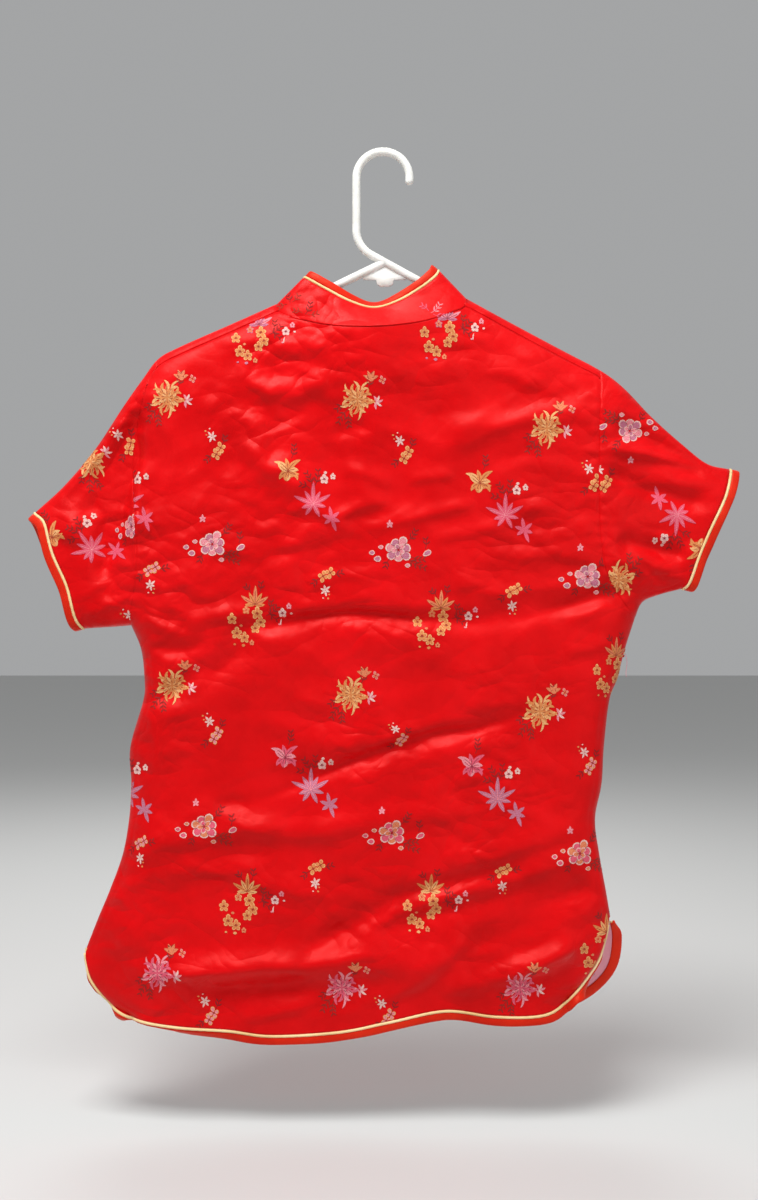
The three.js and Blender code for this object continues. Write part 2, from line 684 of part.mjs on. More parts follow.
function backGrid() {
  const drop = -SHOULDER_WRAP - HALF;
  const seam = { left: raised(TOP.left, drop), right: raised(TOP.right, drop) };
  const ends = {
    left: neckBack.find((p) => p.z < heightAt(seam.left, p.x)),
    right: neckBack.findLast((p) => p.z < heightAt(seam.right, p.x)),
  };
  const arm = {
    left: shifted(ARMHOLE.left, HALF).filter((p) => p.z < heightAt(seam.left, p.x)),
    right: shifted(ARMHOLE.right, -HALF).filter((p) => p.z < heightAt(seam.right, p.x)),
  };
  const neck = neckBack.filter((p) => p.x >= ends.left.x && p.x <= ends.right.x);
  const shoulders = {
    left: seam.left.filter((p) => p.x > arm.left[0].x && p.x < ends.left.x).reverse(),
    right: seam.right.filter((p) => p.x < arm.right[0].x && p.x > ends.right.x),
  };
  const path = [arm.left[0], ...shoulders.left, ...neck, ...shoulders.right, arm.right[0]];
  const whole = lengthOf(path);
  const from = lengthOf([arm.left[0], ...shoulders.left, neck[0]]) / whole;
  const to = 1 - lengthOf([neck.at(-1), ...shoulders.right, arm.right[0]]) / whole;
  const edges = {
    bottom: joined(hemBack.bottom),
    top: joined(path),
    left: sideEdge(hemBack.left, "left", arm.left),
    right: sideEdge(hemBack.right, "right", arm.right),
  };
  const shoulderUs = easedFrom(0, from, BACK_COLUMNS.shoulder);
  const neckUs = steps(from, to, BACK_COLUMNS.neck).slice(1);
  const us = [...shoulderUs, ...neckUs, ...easedTo(to, 1, BACK_COLUMNS.shoulder).slice(1)];
  const grid = patch(edges, us, BACK_ROWS).map((row) => row.map((p) => onFace(p.x, p.z, -1)));
  return { grid, neck: { from: BACK_COLUMNS.shoulder, to: BACK_COLUMNS.shoulder + BACK_COLUMNS.neck } };
}

// A panel's side: up the slit's edge, the side seam and the armhole.
const sideEdge = (slit, side, arm) => staged([
  { path: slit, to: SLIT_MARK },
  { path: sideUp(side), to: ARM_MARK },
  { path: [sideUp(side).at(-1), ...[...arm].reverse()], to: 1 },
]);

// The lining inside the front, beside the right slit, where the parted panels let it be seen.
function liningGrid({ grid, normals }) {
  const { rows, inset, width, columns } = LINING;
  return grid.slice(rows.from, rows.to + 1).map((row, i) => fractions(columns).map((t) => {
    const x = row.at(-1).x - inset - t * width;
    const k = Math.max(1, row.findIndex((p) => p.x > x));
    const share = (x - row[k - 1].x) / (row[k].x - row[k - 1].x);
    const normal = normals[rows.from + i][k - 1].clone().lerp(normals[rows.from + i][k], share).normalize();
    return row[k - 1].clone().lerp(row[k], share).addScaledVector(normal, -(CLOTH + SEAM + LINING.slack));
  }));
}

// Normals of a panel. On a folded edge they lie in the outline's plane, and along the neck they are level.
function panelNormals({ grid, neck }, side) {
  const normals = gridNormals(grid);
  normals.forEach((row, i) => row.forEach((normal, j) => {
    if (normal.y * grid[i][j].y < 0 && Math.abs(grid[i][j].y) > HALF + 1e-6) normal.negate();
    else if (Math.abs(grid[i][j].y) <= HALF + 1e-6 && normal.y * side < 0) normal.negate();
  }));
  normals.forEach((row, i) => [0, row.length - 1].forEach((j) => {
    if (Math.abs(grid[i][j].y) > HALF + 1e-6) return;
    const inwards = grid[i][j === 0 ? 1 : j - 1].clone().sub(grid[i][j]).setY(0);
    row[j].setY(0).normalize();
    if (row[j].dot(inwards) > 0) row[j].negate();
  }));
  for (let j = neck.from; j <= neck.to; j++) {
    const [normal, p] = [normals.at(-1)[j], grid.at(-1)[j]];
    normal.setZ(0).normalize();
    if (normal.x * (p.x - NECK_BULGE.x) + 4 * normal.y * p.y < 0) normal.negate();
  }
  return normals;
}

// The steps of a panel's edge from one slit's top, round the hem, to the other's.
function hemSteps(grid, normals) {
  const last = grid[0].length - 1;
  const steps = [partStep(grid, normals, 0, 1)];
  for (let i = SLIT_ROWS.length - 2; i > 0; i--) {
    steps.push({ point: grid[i][0], normal: normals[i][0], inside: grid[i][1] });
  }
  grid[0].forEach((point, j) => {
    const inside = grid[1][THREE.MathUtils.clamp(j, 1, last - 1)];
    steps.push({ point, normal: normals[0][j], inside });
  });
  for (let i = 1; i < SLIT_ROWS.length - 1; i++) {
    steps.push({ point: grid[i][last], normal: normals[i][last], inside: grid[i][last - 1] });
  }
  return [...steps, partStep(grid, normals, last, last - 1)];
}

// A step a little below a slit's top.
function partStep(grid, normals, j, inner) {
  const i = SLIT_ROWS.length - 2;
  return {
    point: grid[i][j].clone().lerp(grid[i + 1][j], SLIT_TRIM_START),
    normal: normals[i][j],
    inside: grid[i][inner].clone().lerp(grid[i + 1][inner], SLIT_TRIM_START),
  };
}

// ---------------------------------------------------------------- front panel and underlap
// Above a shoulder's fold the cloth carries on down the back face.
function wrapped(x, z, fold) {
  return z > fold ? onFace(x, 2 * fold - z, -1) : onFace(x, z, 1);
}

// A patch whose upper rows follow the turn over the shoulder where onShoulder holds.
function turnedPatch(edges, us, lowerRows, top, onShoulder) {
  const plan = patch(edges, us, [...lowerRows, ...TURN_ROWS.map((drop) => 1 - drop / TURN_HEIGHT)]);
  const seam = (x) => heightAt(top, x) + SHOULDER_WRAP - SHOULDER_GAP;
  return plan.map((row, i) => row.map((p, j) => {
    const turn = i - lowerRows.length;
    const z = turn >= 0 && onShoulder(us[j]) ? seam(p.x) - TURN_ROWS[turn] : p.z;
    const nearFold = Math.abs(p.x + 10) > 60;
    return wrapped(p.x, z, nearFold ? heightAt(top, p.x) : Infinity);
  }));
}

function frontGrid() {
  const arm = shifted(ARMHOLE.left, HALF);
  const seam = raised(TOP.left, SHOULDER_WRAP - SHOULDER_GAP);
  const opening = line(track(OPENING), 90);
  const shoulder = [
    flat(arm[0].x, heightAt(seam, arm[0].x)),
    ...seam.filter((p) => p.x > arm[0].x + 1 && p.x < neckLeft[0].x - 1).reverse(),
    neckLeft[0],
  ];
  const path = [...shoulder, ...neckLeft.slice(1), ...opening.slice(1)];
  const whole = lengthOf(path);
  const [before, neckEnd] = [lengthOf(shoulder), lengthOf(shoulder) + lengthOf(neckLeft)];
  const top = joined(path);
  const side = sideUp("right").filter((p) => p.z < opening.at(-1).z - 1);
  const edges = {
    bottom: joined(hemFront.bottom),
    top,
    left: sideEdge(hemFront.left, "left", [top(0), ...arm.slice(1)]),
    right: staged([
      { path: hemFront.right, to: SLIT_MARK },
      { path: [...side, opening.at(-1)], to: 1 },
    ]),
  };
  const neckUs = neckShares(neckLeft, before, whole);
  const us = [
    ...easedFrom(0, before / whole, FRONT_COLUMNS.shoulder),
    ...neckUs,
    ...easedTo(neckEnd / whole, 1, FRONT_COLUMNS.opening).slice(1),
  ];
  const onShoulder = (u) => u <= before / whole + 1e-9;
  const grid = turnedPatch(edges, us, FRONT_ROWS, TOP.left, onShoulder);
  return { grid, neck: { from: FRONT_COLUMNS.shoulder, to: FRONT_COLUMNS.shoulder + neckUs.length } };
}

function underlapGrid() {
  const arm = shifted(ARMHOLE.right, -HALF);
  const seam = raised(TOP.right, SHOULDER_WRAP - SHOULDER_GAP);
  const neck = [...neckRight].reverse();
  const shoulder = [
    neck.at(-1),
    ...seam.filter((p) => p.x < arm[0].x - 1 && p.x > neck.at(-1).x + 1),
    flat(arm[0].x, heightAt(seam, arm[0].x)),
  ];
  const path = [...neck, ...shoulder.slice(1)];
  const [whole, after] = [lengthOf(path), lengthOf(shoulder)];
  const lower = raised(line(track(OPENING), 60), -OVERLAP).filter((p) => p.x < 210);
  const side = sideUp("right").filter((p) => p.z > lower.at(-1).z + 4);
  const edges = {
    bottom: joined(lower, [side[0]]),
    top: joined(path),
    left: joined([lower[0], neck[0]]),
    right: staged([
      { path: side, to: UNDERLAP_ROWS.sideMark },
      { path: [side.at(-1), ...[...arm.slice(1)].reverse(), path.at(-1)], to: 1 },
    ]),
  };
  const neckUs = neckShares(neckRight, after, whole).map((share) => 1 - share).reverse();
  const us = [...neckUs, ...easedTo((whole - after) / whole, 1, UNDERLAP_COLUMNS)];
  const { side: sideRows, arm: armRows, sideMark } = UNDERLAP_ROWS;
  const rows = [...steps(0, sideMark, sideRows), ...steps(sideMark, ARM_TOP, armRows).slice(1)];
  const onShoulder = (u) => u >= (whole - after) / whole - 1e-9;
  const grid = turnedPatch(edges, us, rows, TOP.right, onShoulder);
  const made = { grid, neck: { from: 0, to: neckUs.length } };
  const normals = panelNormals(made, 1);
  made.grid = grid.map((row, i) => row.map((p, j) => {
    const fromArm = smooth(distanceTo(ARMHOLE.right, p.x, p.z) / UNDERLAP_EASE);
    const fromFold = smooth((distanceTo(TOP.right, p.x, p.z) - 2) / UNDERLAP_EASE);
    const inset = p.y < 0 ? 0 : UNDERLAP_INSET * fromArm * fromFold;
    return p.clone().addScaledVector(normals[i][j], -inset);
  }));
  return made;
}

// The steps of the front's opening edge, from just outside the collar to just short of the side fold.
function openingSteps({ grid, neck, normals }) {
  const [edge, inner] = [grid.at(-1).slice(neck.to), grid.at(-3).slice(neck.to)];
  const all = edge.map((point, k) => ({ point, normal: normals.at(-1)[neck.to + k], inside: inner[k] }));
  const part = (a, b, share) => ({
    point: a.point.clone().lerp(b.point, share),
    normal: a.normal,
    inside: a.inside.clone().lerp(b.inside, share),
  });
  return [part(all[0], all[1], 0.2), ...all.slice(1, -1), part(all.at(-2), all.at(-1), 0.75)];
}

// How far the back hem's binding has curled under, towards the left corner.
function curl(point) {
  const i = CURL.findIndex((row) => row.x > point.x);
  if (i <= 0) return i < 0 ? CURL.at(-1).degrees : CURL[0].degrees;
  const [a, b] = [CURL[i - 1], CURL[i]];
  return lerp(a.degrees, b.degrees, (point.x - a.x) / (b.x - a.x));
}

// ---------------------------------------------------------------- sleeves
// The sleeve's first ring follows the armhole edges of its panels: from the shoulder's fold down the back
// to the underarm and up the front. Its other rings run on to the cuff.
function sleeve({ backEdge, frontEdge, topFold, underFold, cuffRows, outwards, rings }) {
  const foldRow = frontEdge.length - 1 - FOLD_ROW;
  const first = [...frontEdge.slice(foldRow, -1), ...[...backEdge].reverse(), ...frontEdge.slice(1, foldRow)];
  const underarm = frontEdge.length - 1 - foldRow + backEdge.length - 1;
  const armBack = first.slice(0, underarm + 1).map(({ point }) => flat(point.x, point.z));
  const armFront = [...first.slice(underarm), first[0]].map(({ point }) => flat(point.x, point.z)).reverse();
  const cuff = line(track(cuffRows), 40);
  const top = topFold.filter((p) => (p.x - armBack[0].x) * outwards > 2);
  const under = [armBack.at(-1), ...underFold.slice(1)];
  const edges = (arm, front) => ({
    bottom: joined([arm[0], ...top]),
    top: joined(under),
    left: joined(arm),
    right: joined(cuff.map((p) => flat(p.x + (front ? p.y : 0), p.z))),
  });
  const sharesOf = (arm) => arm.map((_, i) => lengthOf(arm.slice(0, i + 1)) / lengthOf(arm));
  const us = fractions(rings);
  const backPlan = patch(edges(armBack, false), us, sharesOf(armBack));
  const frontPlan = patch(edges(armFront, true), us, sharesOf(armFront)).reverse();
  const move = new THREE.Vector3(outwards * ARMHOLE_GAP, 0, 0);
  const grid = us.map((_, i) => first.map(({ point }, j) => {
    if (i === 0) return point.clone().add(move).setY(j === 0 || j === underarm ? 0 : point.y);
    const p = (j <= underarm ? backPlan[j] : frontPlan[j - underarm])[i];
    return j === 0 || j === underarm ? flat(p.x, p.z) : onFace(p.x, p.z, j < underarm ? -1 : 1);
  }));
  const normals = ringNormals(grid);
  const blend = normals.map((row, i) => row.map((normal, j) => {
    if (i > 0) return normal;
    return j === 0 || j === underarm ? normal.setX(0).normalize() : first[j].normal.clone();
  }));
  return { grid, normals: blend };
}

function ringNormals(grid) {
  const normals = gridNormals(grid, true);
  const last = grid.length - 1;
  const sum = grid[last].reduce((total, p) => total.add(p), new THREE.Vector3());
  const centre = sum.divideScalar(grid[last].length);
  const outwards = normals[last][2].dot(grid[last][2].clone().sub(centre)) > 0;
  return outwards ? normals : normals.map((row) => row.map((normal) => normal.negate()));
}

const ringSteps = ({ grid, normals }) => grid.at(-1).map((point, j) =>
  ({ point, normal: normals.at(-1)[j], inside: grid.at(-2)[j] }));

// ---------------------------------------------------------------- collar
// The collar stands on the neck edges: from the underlap's, round the back's, to the front's.
function collarGrid(neckRightEdge, neckBackEdge, neckLeftEdge) {
  const edge = [
    ...neckRightEdge.slice(1, -1),
    neckRightEdge.at(-1).clone().lerp(neckBackEdge[0], 0.5),
    ...neckBackEdge.slice(1, -1),
    neckBackEdge.at(-1).clone().lerp(neckLeftEdge[0], 0.5),
    ...neckLeftEdge.slice(1, -1),
  ];
  const base = withCornerPoints(edge);
  const along = base.map((_, i) => lengthOf(base.slice(0, i + 1)));
  const total = along.at(-1);
  const top = [...COLLAR_TOP_LEFT_FRONT, ...COLLAR_TOP_BACK.slice(1), ...COLLAR_TOP_RIGHT_FRONT.slice(1)];
  const topPath = track(top.reverse());
  topPath.arcLengthDivisions = 600;
  const grid = (corner) => fractions(4).map((v) => base.map((p, i) => {
    const [before, after] = [base[Math.max(i - 1, 0)], base[Math.min(i + 1, base.length - 1)]];
    const tangent = after.clone().sub(before).normalize();
    const way = topPath.getPointAt(along[i] / total).sub(p);
    const lean = way.dot(tangent);
    const { level, steep, fold, foldReach } = COLLAR_LIFT;
    const lift = level + steep * Math.abs(lean) / way.length() + fold * smooth(1 - Math.abs(p.y) / foldReach);
    const start = p.clone().addScaledVector(way.clone().addScaledVector(tangent, -lean).normalize(), lift);
    const s = Math.min(along[i], total - along[i], COLLAR_CORNER) / COLLAR_CORNER;
    const reach = way.length() - lift - corner * (1 - Math.sqrt(1 - (1 - s) ** 2));
    return start.addScaledVector(way.normalize(), v * reach);
  }));
  return { grid: grid(COLLAR_CORNER), normals: collarNormals(grid(0)) };
}

// The neck edge with more points near its two ends, all on the same chords.
function withCornerPoints(edge) {
  const along = edge.map((_, i) => lengthOf(edge.slice(0, i + 1)));
  const total = along.at(-1);
  const extra = CORNER_STOPS.flatMap((stop) => [stop, total - stop])
    .filter((stop) => along.every((other) => Math.abs(other - stop) > 1));
  return [...along, ...extra].sort((a, b) => a - b).map((at) => {
    const i = Math.max(1, along.findIndex((length) => length >= at));
    return edge[i - 1].clone().lerp(edge[i], (at - along[i - 1]) / (along[i] - along[i - 1]));
  });
}

function collarNormals(grid) {
  const normals = gridNormals(grid);
  const j = Math.round(grid[0].length / 2);
  if (normals[2][j].y > 0) normals.forEach((row) => row.forEach((normal) => normal.negate()));
  normals[0].forEach((normal) => normal.setZ(0).normalize());
  return normals;
}

function collarSteps(grid, normals) {
  const last = grid[0].length - 1;
  const steps = [];
  for (let i = 0; i < grid.length - 1; i++) {
    steps.push(collarEndStep(grid, normals, i, 0, 1));
  }
  grid.at(-1).forEach((point, j) => {
    const inside = grid[1][THREE.MathUtils.clamp(j, 1, last - 1)];
    steps.push({ point, normal: normals.at(-1)[j], inside });
  });
  for (let i = grid.length - 2; i >= 0; i--) {
    steps.push(collarEndStep(grid, normals, i, last, last - 1));
  }
  return steps;
}

// The trim down a collar's end stops short of the neck edge.
function collarEndStep(grid, normals, i, j, inner) {
  const up = i === 0 ? COLLAR_TRIM_START : 0;
  return {
    point: grid[i][j].clone().lerp(grid[i + 1][j], up),
    normal: normals[i][j],
    inside: grid[i][inner].clone().lerp(grid[i + 1][inner], up),
  };
}

// ---------------------------------------------------------------- joined solids
const wasm = await Module();
wasm.setup();

function solidOf(geometry) {
  const bare = new THREE.BufferGeometry();
  bare.setAttribute("position", geometry.getAttribute("position"));
  bare.setIndex(geometry.index);
  const merged = mergeVertices(bare, 1e-4);
  const { position } = merged.attributes;
  const triVerts = new Uint32Array(merged.index.array);
  return new wasm.Manifold(new wasm.Mesh({ numProp: 3, vertProperties: position.array, triVerts }));
}

function geometryFrom(solid) {
  const made = solid.getMesh();
  const geometry = new THREE.BufferGeometry();
  const positions = new Float32Array(made.numVert * 3);
  for (let i = 0; i < made.numVert; i++) {
    positions.set(made.vertProperties.subarray(i * made.numProp, i * made.numProp + 3), 3 * i);
  }
  geometry.setAttribute("position", new THREE.BufferAttribute(positions, 3));
  geometry.setIndex(new THREE.BufferAttribute(made.triVerts, 1));
  geometry.computeVertexNormals();
  return geometry;
}

// ---------------------------------------------------------------- hanger
// A round bar along points in the hanger's plane, with rounded ends.
function tube(points, radius) {
  const rings = points.map((point, i) => {
    const [before, after] = [points[Math.max(i - 1, 0)], points[Math.min(i + 1, points.length - 1)]];
    const along = after.clone().sub(before).normalize();
    const across = new THREE.Vector3(0, 1, 0).cross(along).normalize();
    return { point, along, across, radius };
  });
  const cap = (ring, way) => CAP_STOPS.map((t) => ({
    ...ring,
    point: ring.point.clone().addScaledVector(ring.along, way * radius * t),
    radius: radius * Math.sqrt(1 - t * t),
  }));
  const all = [...cap(rings[0], -1).reverse(), ...rings, ...cap(rings.at(-1), 1)];
  const corners = fractions(TUBE_SIDES).slice(0, -1).map((t) => t * 2 * Math.PI);
  return bar(all.map((ring) => corners.map((angle) => ring.point.clone()
    .addScaledVector(ring.across, ring.radius * Math.cos(angle))
    .addScaledVector(new THREE.Vector3(0, 1, 0), ring.radius * Math.sin(angle)))));
}

function arc(centre, radius, from, to, count) {
  return fractions(count).map((t) => {
    const angle = THREE.MathUtils.degToRad(lerp(from, to, t));
    return flat(centre.x + radius * Math.cos(angle), centre.z + radius * Math.sin(angle));
  });
}

// Points round a corner between two straight runs, with the given radius.
function fillet(before, corner, after, radius, count = 5) {
  const a = before.clone().sub(corner).normalize();
  const b = after.clone().sub(corner).normalize();
  const half = a.angleTo(b) / 2;
  const from = corner.clone().addScaledVector(a, radius / Math.tan(half));
  const to = corner.clone().addScaledVector(b, radius / Math.tan(half));
  const centre = corner.clone().addScaledVector(a.clone().add(b).normalize(), radius / Math.sin(half));
  return fractions(count).map((t) => {
    const spoke = from.clone().lerp(to, t).sub(centre).normalize();
    return centre.clone().addScaledVector(spoke, radius);
  });
}

function hanger() {
  const h = HANGER;
  const rounded = (corners) => corners.flatMap(({ at, radius }, i) => (radius
    ? fillet(corners[i - 1].at, at, corners[i + 1].at, radius) : [at]));
  const hook = arc(h.hookCentre, HOOK_RADIUS, h.hookTip, 180, 18);
  const frame = rounded([
    { at: flat(-HOOK_RADIUS, h.hookCentre.z) },
    { at: flat(-HOOK_RADIUS, h.stemCornerZ), radius: h.neckRadius },
    { at: h.rightEnd, radius: HANGER_END_RADIUS },
    { at: h.rightLow, radius: HANGER_END_RADIUS },
    { at: h.leftLow, radius: HANGER_END_RADIUS },
    { at: h.leftEnd, radius: HANGER_END_RADIUS },
    { at: h.leftKink, radius: h.kinkRadius },
    { at: h.junction },
  ]);
  const plate = new THREE.Shape([
    new THREE.Vector2(h.junction.x, h.junction.z + 1),
    ...h.gusset.map(({ x, z }) => new THREE.Vector2(x, z)),
  ]);
  plate.holes.push(new THREE.Path().absarc(h.hole.x, h.hole.z, h.hole.radius, 0, 2 * Math.PI));
  const settings = { depth: GUSSET_THICKNESS, bevelEnabled: false, curveSegments: 5 };
  const gusset = new THREE.ExtrudeGeometry(plate, settings)
    .rotateX(Math.PI / 2)
    .translate(0, GUSSET_THICKNESS / 2, 0);
  const path = [...hook, ...frame.slice(1)];
  return geometryFrom(solidOf(tube(path, TUBE_RADIUS)).add(solidOf(gusset)));
}

// ---------------------------------------------------------------- frogs
// A frog is a flat cord laid across the opening's edge, with its knot in the middle.
function frog({ share, length }) {
  const path = track(OPENING);
  const centre = path.getPointAt(share);
  const along = path.getTangentAt(share);
  const across = new THREE.Vector3(-along.z, 0, along.x).normalize();
  const half = FROG.thickness / 2;
  const rings = fractions(FROG.spans).map((t, i) => {
    const fromMiddle = 2 * t - 1;
    const end = Math.max(0, Math.abs(fromMiddle) - FROG.tip) / (1 - FROG.tip);
    const waist = i === FROG.spans / 2 ? FROG.waist : 1;
    const width = FROG.width * waist * Math.sqrt(1 - 0.8 * end * end) / 2;
    const middle = centre.clone().addScaledVector(across, fromMiddle * length / 2);
    return FROG_SECTION.map((corner) => {
      const p = middle.clone().addScaledVector(along, corner.across * width);
      return onFace(p.x, p.z, 1).add(new THREE.Vector3(0, FROG.lift + half + corner.up * half, 0));
    });
  });
  const knot = new THREE.SphereGeometry(FROG.knot, 10, 8)
    .translate(centre.x, depthAt(centre.x, centre.z, 1) + FROG.lift + FROG.knot, centre.z);
  return geometryFrom(solidOf(bar(rings)).add(solidOf(knot)));
}

// ---------------------------------------------------------------- the object
const root = new THREE.Group();

function add(name, geometry, colour, roughness) {
  const material = new THREE.MeshStandardMaterial({ color: colour, roughness, metalness: 0 });
  const mesh = new THREE.Mesh(geometry, material);
  mesh.name = name;
  root.add(mesh);
}

function addTrim(name, edge, thickness, shape = {}) {
  const frames = edgeFrames(edge, shape.closed);
  add(name + "_piping", pipingOn(frames, thickness, shape.closed), CREAM, 0.5);
  add(name + "_binding", bindingOn(frames, thickness, shape), RED, 0.4);
}

const back = backGrid();
const front = frontGrid();
const underlap = underlapGrid();
back.normals = panelNormals(back, -1);
front.normals = panelNormals(front, 1);
underlap.normals = panelNormals(underlap, 1);
add("back_panel", wall(back.grid, back.normals, CLOTH), RED, 0.35);
add("front_panel", wall(front.grid, front.normals, CLOTH), RED, 0.35);
add("front_underlap", wall(underlap.grid, underlap.normals, CLOTH), RED, 0.35);
const lining = liningGrid(front);
add("front_lining", wall(lining, gridNormals(lining), LINING_CLOTH), PINK, 0.5);

// A panel's edge column from one row up, as steps for the sleeve.
const edgeColumn = ({ grid, normals }, j, from) => grid.slice(from).map((row, i) =>
  ({ point: row.at(j), normal: normals[from + i].at(j) }));
const BACK_ARM_ROW = SLIT_ROWS.length + SIDE_ROWS_UP.length - 1;
const leftSleeve = sleeve({
  backEdge: edgeColumn(back, 0, BACK_ARM_ROW),
  frontEdge: edgeColumn(front, 0, BACK_ARM_ROW),
  topFold: TOP.left,
  underFold: UNDER_SLEEVE.left,
  cuffRows: CUFF_LEFT,
  outwards: -1,
  rings: SLEEVE_RINGS,
});
const rightSleeve = sleeve({
  backEdge: edgeColumn(back, -1, BACK_ARM_ROW),
  frontEdge: edgeColumn(underlap, -1, UNDERLAP_ROWS.side),
  topFold: TOP.right,
  underFold: UNDER_SLEEVE.right,
  cuffRows: CUFF_RIGHT,
  outwards: 1,
  rings: SLEEVE_RINGS,
});
add("left_sleeve", wall(leftSleeve.grid, leftSleeve.normals, CLOTH, true), RED, 0.35);
add("right_sleeve", wall(rightSleeve.grid, rightSleeve.normals, CLOTH, true), RED, 0.35);

const neckOf = ({ grid, neck }) => grid.at(-1).slice(neck.from, neck.to + 1);
const collar = collarGrid(neckOf(underlap), neckOf(back).reverse(), neckOf(front));
add("collar", wall(collar.grid, collar.normals, COLLAR_CLOTH), RED, 0.35);

addTrim("collar", collarSteps(collar.grid, collar.normals), COLLAR_CLOTH);
addTrim("left_cuff", ringSteps(leftSleeve), CLOTH, { closed: true });
addTrim("right_cuff", ringSteps(rightSleeve), CLOTH, { closed: true });
addTrim("back_hem", hemSteps(back.grid, back.normals), CLOTH, { roll: curl, taper: 0.3 });
addTrim("front_hem", hemSteps(front.grid, front.normals), CLOTH, { taper: 0.3 });
addTrim("opening", openingSteps(front), CLOTH, { taper: 0.5 });

FROGS.forEach((row) => add(row.name, frog(row), RED, 0.4));
add("hanger", hanger(), WHITE, 0.3);

export default root;
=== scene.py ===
"""The looks of the cheongsam top on its hanger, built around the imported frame.

All tables are in millimetres in the frame's own axes: the garment's back faces -Y, its front +Y.
The cloth is a pillow of two faces: at each (x, z) the back lies at y = -depth and the front at +depth.
"""
import math

import bpy
import numpy as np
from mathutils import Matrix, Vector
from mathutils.bvhtree import BVHTree


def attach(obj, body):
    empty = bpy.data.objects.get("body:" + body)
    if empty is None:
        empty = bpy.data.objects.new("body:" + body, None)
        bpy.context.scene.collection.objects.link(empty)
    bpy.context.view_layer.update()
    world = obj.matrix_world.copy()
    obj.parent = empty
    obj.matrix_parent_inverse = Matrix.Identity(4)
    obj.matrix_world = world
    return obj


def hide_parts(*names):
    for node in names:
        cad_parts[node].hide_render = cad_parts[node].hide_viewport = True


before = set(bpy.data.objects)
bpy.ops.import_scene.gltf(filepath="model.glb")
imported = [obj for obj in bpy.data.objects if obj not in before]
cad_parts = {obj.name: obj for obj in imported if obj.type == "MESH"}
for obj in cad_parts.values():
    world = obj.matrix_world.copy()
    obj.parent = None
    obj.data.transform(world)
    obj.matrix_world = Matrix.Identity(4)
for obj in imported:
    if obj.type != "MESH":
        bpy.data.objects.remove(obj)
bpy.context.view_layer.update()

# ---------------- sizes
CLOTH = 1.4  # a panel's thickness
COLLAR_CLOTH = 2.0
LINING_CLOTH = 0.6
HALF = 0.15  # half a seam's gap
PIPING_AT = 1.45  # the piping's centre line, out from the cloth's edge
PIPING_UP = 0.35  # and up from the cloth's middle
PIPING_RADIUS = 1.3
BINDING_AT = 2.5  # what the binding turns about, out from the cloth's edge
BINDING_TURN = 0.6  # how far the binding moves out where it turns under
# The binding's section: how far out from the cloth's edge, and how far up from the cloth's middle.
BINDING_SECTION = [
    (2.5, 0.2), (2.7, 0.9), (4.0, 1.12), (6.2, 1.1), (8.4, 0.95), (9.25, 0.55), (9.5, 0.0), (9.3, -0.55),
    (8.4, -1.0), (6.0, -1.3), (3.6, -1.5), (1.4, -1.55), (0.1, -1.5), (-0.2, -1.2), (0.3, -1.0), (1.8, -1.0),
]
TAPER_LENGTH = 16  # over which a binding narrows towards its ends
TRIM_STEP = 2.0
ON_EDGE = 0.06  # nearer to an edge than this, the pillow has no depth
EDGE_ROUND = 30  # this far from an edge, it has its full depth
SHOULDER_WRAP = 9  # from the fold back to the shoulder seam
SHOULDER_GAP = 0.1
COLLAR_CORNER = 13
COLLAR_END = 10.6  # from the collar's end to the neck edge's end
COLLAR_START = -1.2  # from the neck edge up to the collar's foot
OVERLAP = 25
UNDERLAP_INSET = CLOTH + 1.6
UNDERLAP_EASE = 16
FACING_WIDTH, CUFF_FACING, FRONT_FACING = 22, 14, 0.5
SLIT_TRIM_START = 3  # rows below the slit's top
LINING_INSET, LINING_WIDTH, LINING_DROP = 14, 88, 2.7
LINING_RIPPLE = 0.25
DECAL_LIFT, DECAL_LAYER = 0.2, 0.05  # of a motif above the cloth, and of its layers
MOST_SQUEEZED = 0.55  # share of a motif's width where the cloth leans away
TWIG_LEAF = 4.8
TUBE_RADIUS = 3.8
HOOK_RADIUS = 24.2
CORD_RADIUS, FROG_LIFT = 1.1, 1.3
PIPING_SIDES, TUBE_SIDES, FILLET_STEPS = 10, 20, 14
FLOOR_Z = -880

# ---------------- the panels' grids
EDGE_EASE = 1.55  # how much closer the columns lie towards the sides
# Shares of a panel's side edge: the slit's top, the armhole's foot, and the start of the shoulder's turn.
SLIT_MARK, ARM_MARK, ARM_TOP = 0.13, 0.56, 0.93
UNDERLAP_SIDE_MARK, UNDERLAP_TOP = 0.3, 0.84
SLIT_ROWS, BODY_ROWS, ARM_ROWS, FRONT_ARM_ROWS = 34, 98, 98, 79
UNDERLAP_SIDE_ROWS, UNDERLAP_ARM_ROWS = 10, 63
BACK_SHOULDER, BACK_NECK = 62, 60  # columns
FRONT_SHOULDER, FRONT_NECK, FRONT_OPENING, UNDERLAP_SHOULDER = 50, 46, 84, 30
SLEEVE_RINGS, COLLAR_ROWS = 52, 18
LEAST_STEP = 0.25  # between two columns
# The rows of the turn over the shoulder, as mm of cloth before the seam behind the fold.
TURN = np.array([27, 24, 21, 18, 15, 12, 10.5, 9, 7.5, 6, 4.5, 3, 1.5, 0])
FOLD_ROW = len(TURN) - 1 - list(TURN).index(SHOULDER_WRAP)
ARM_ROW = SLIT_ROWS + BODY_ROWS

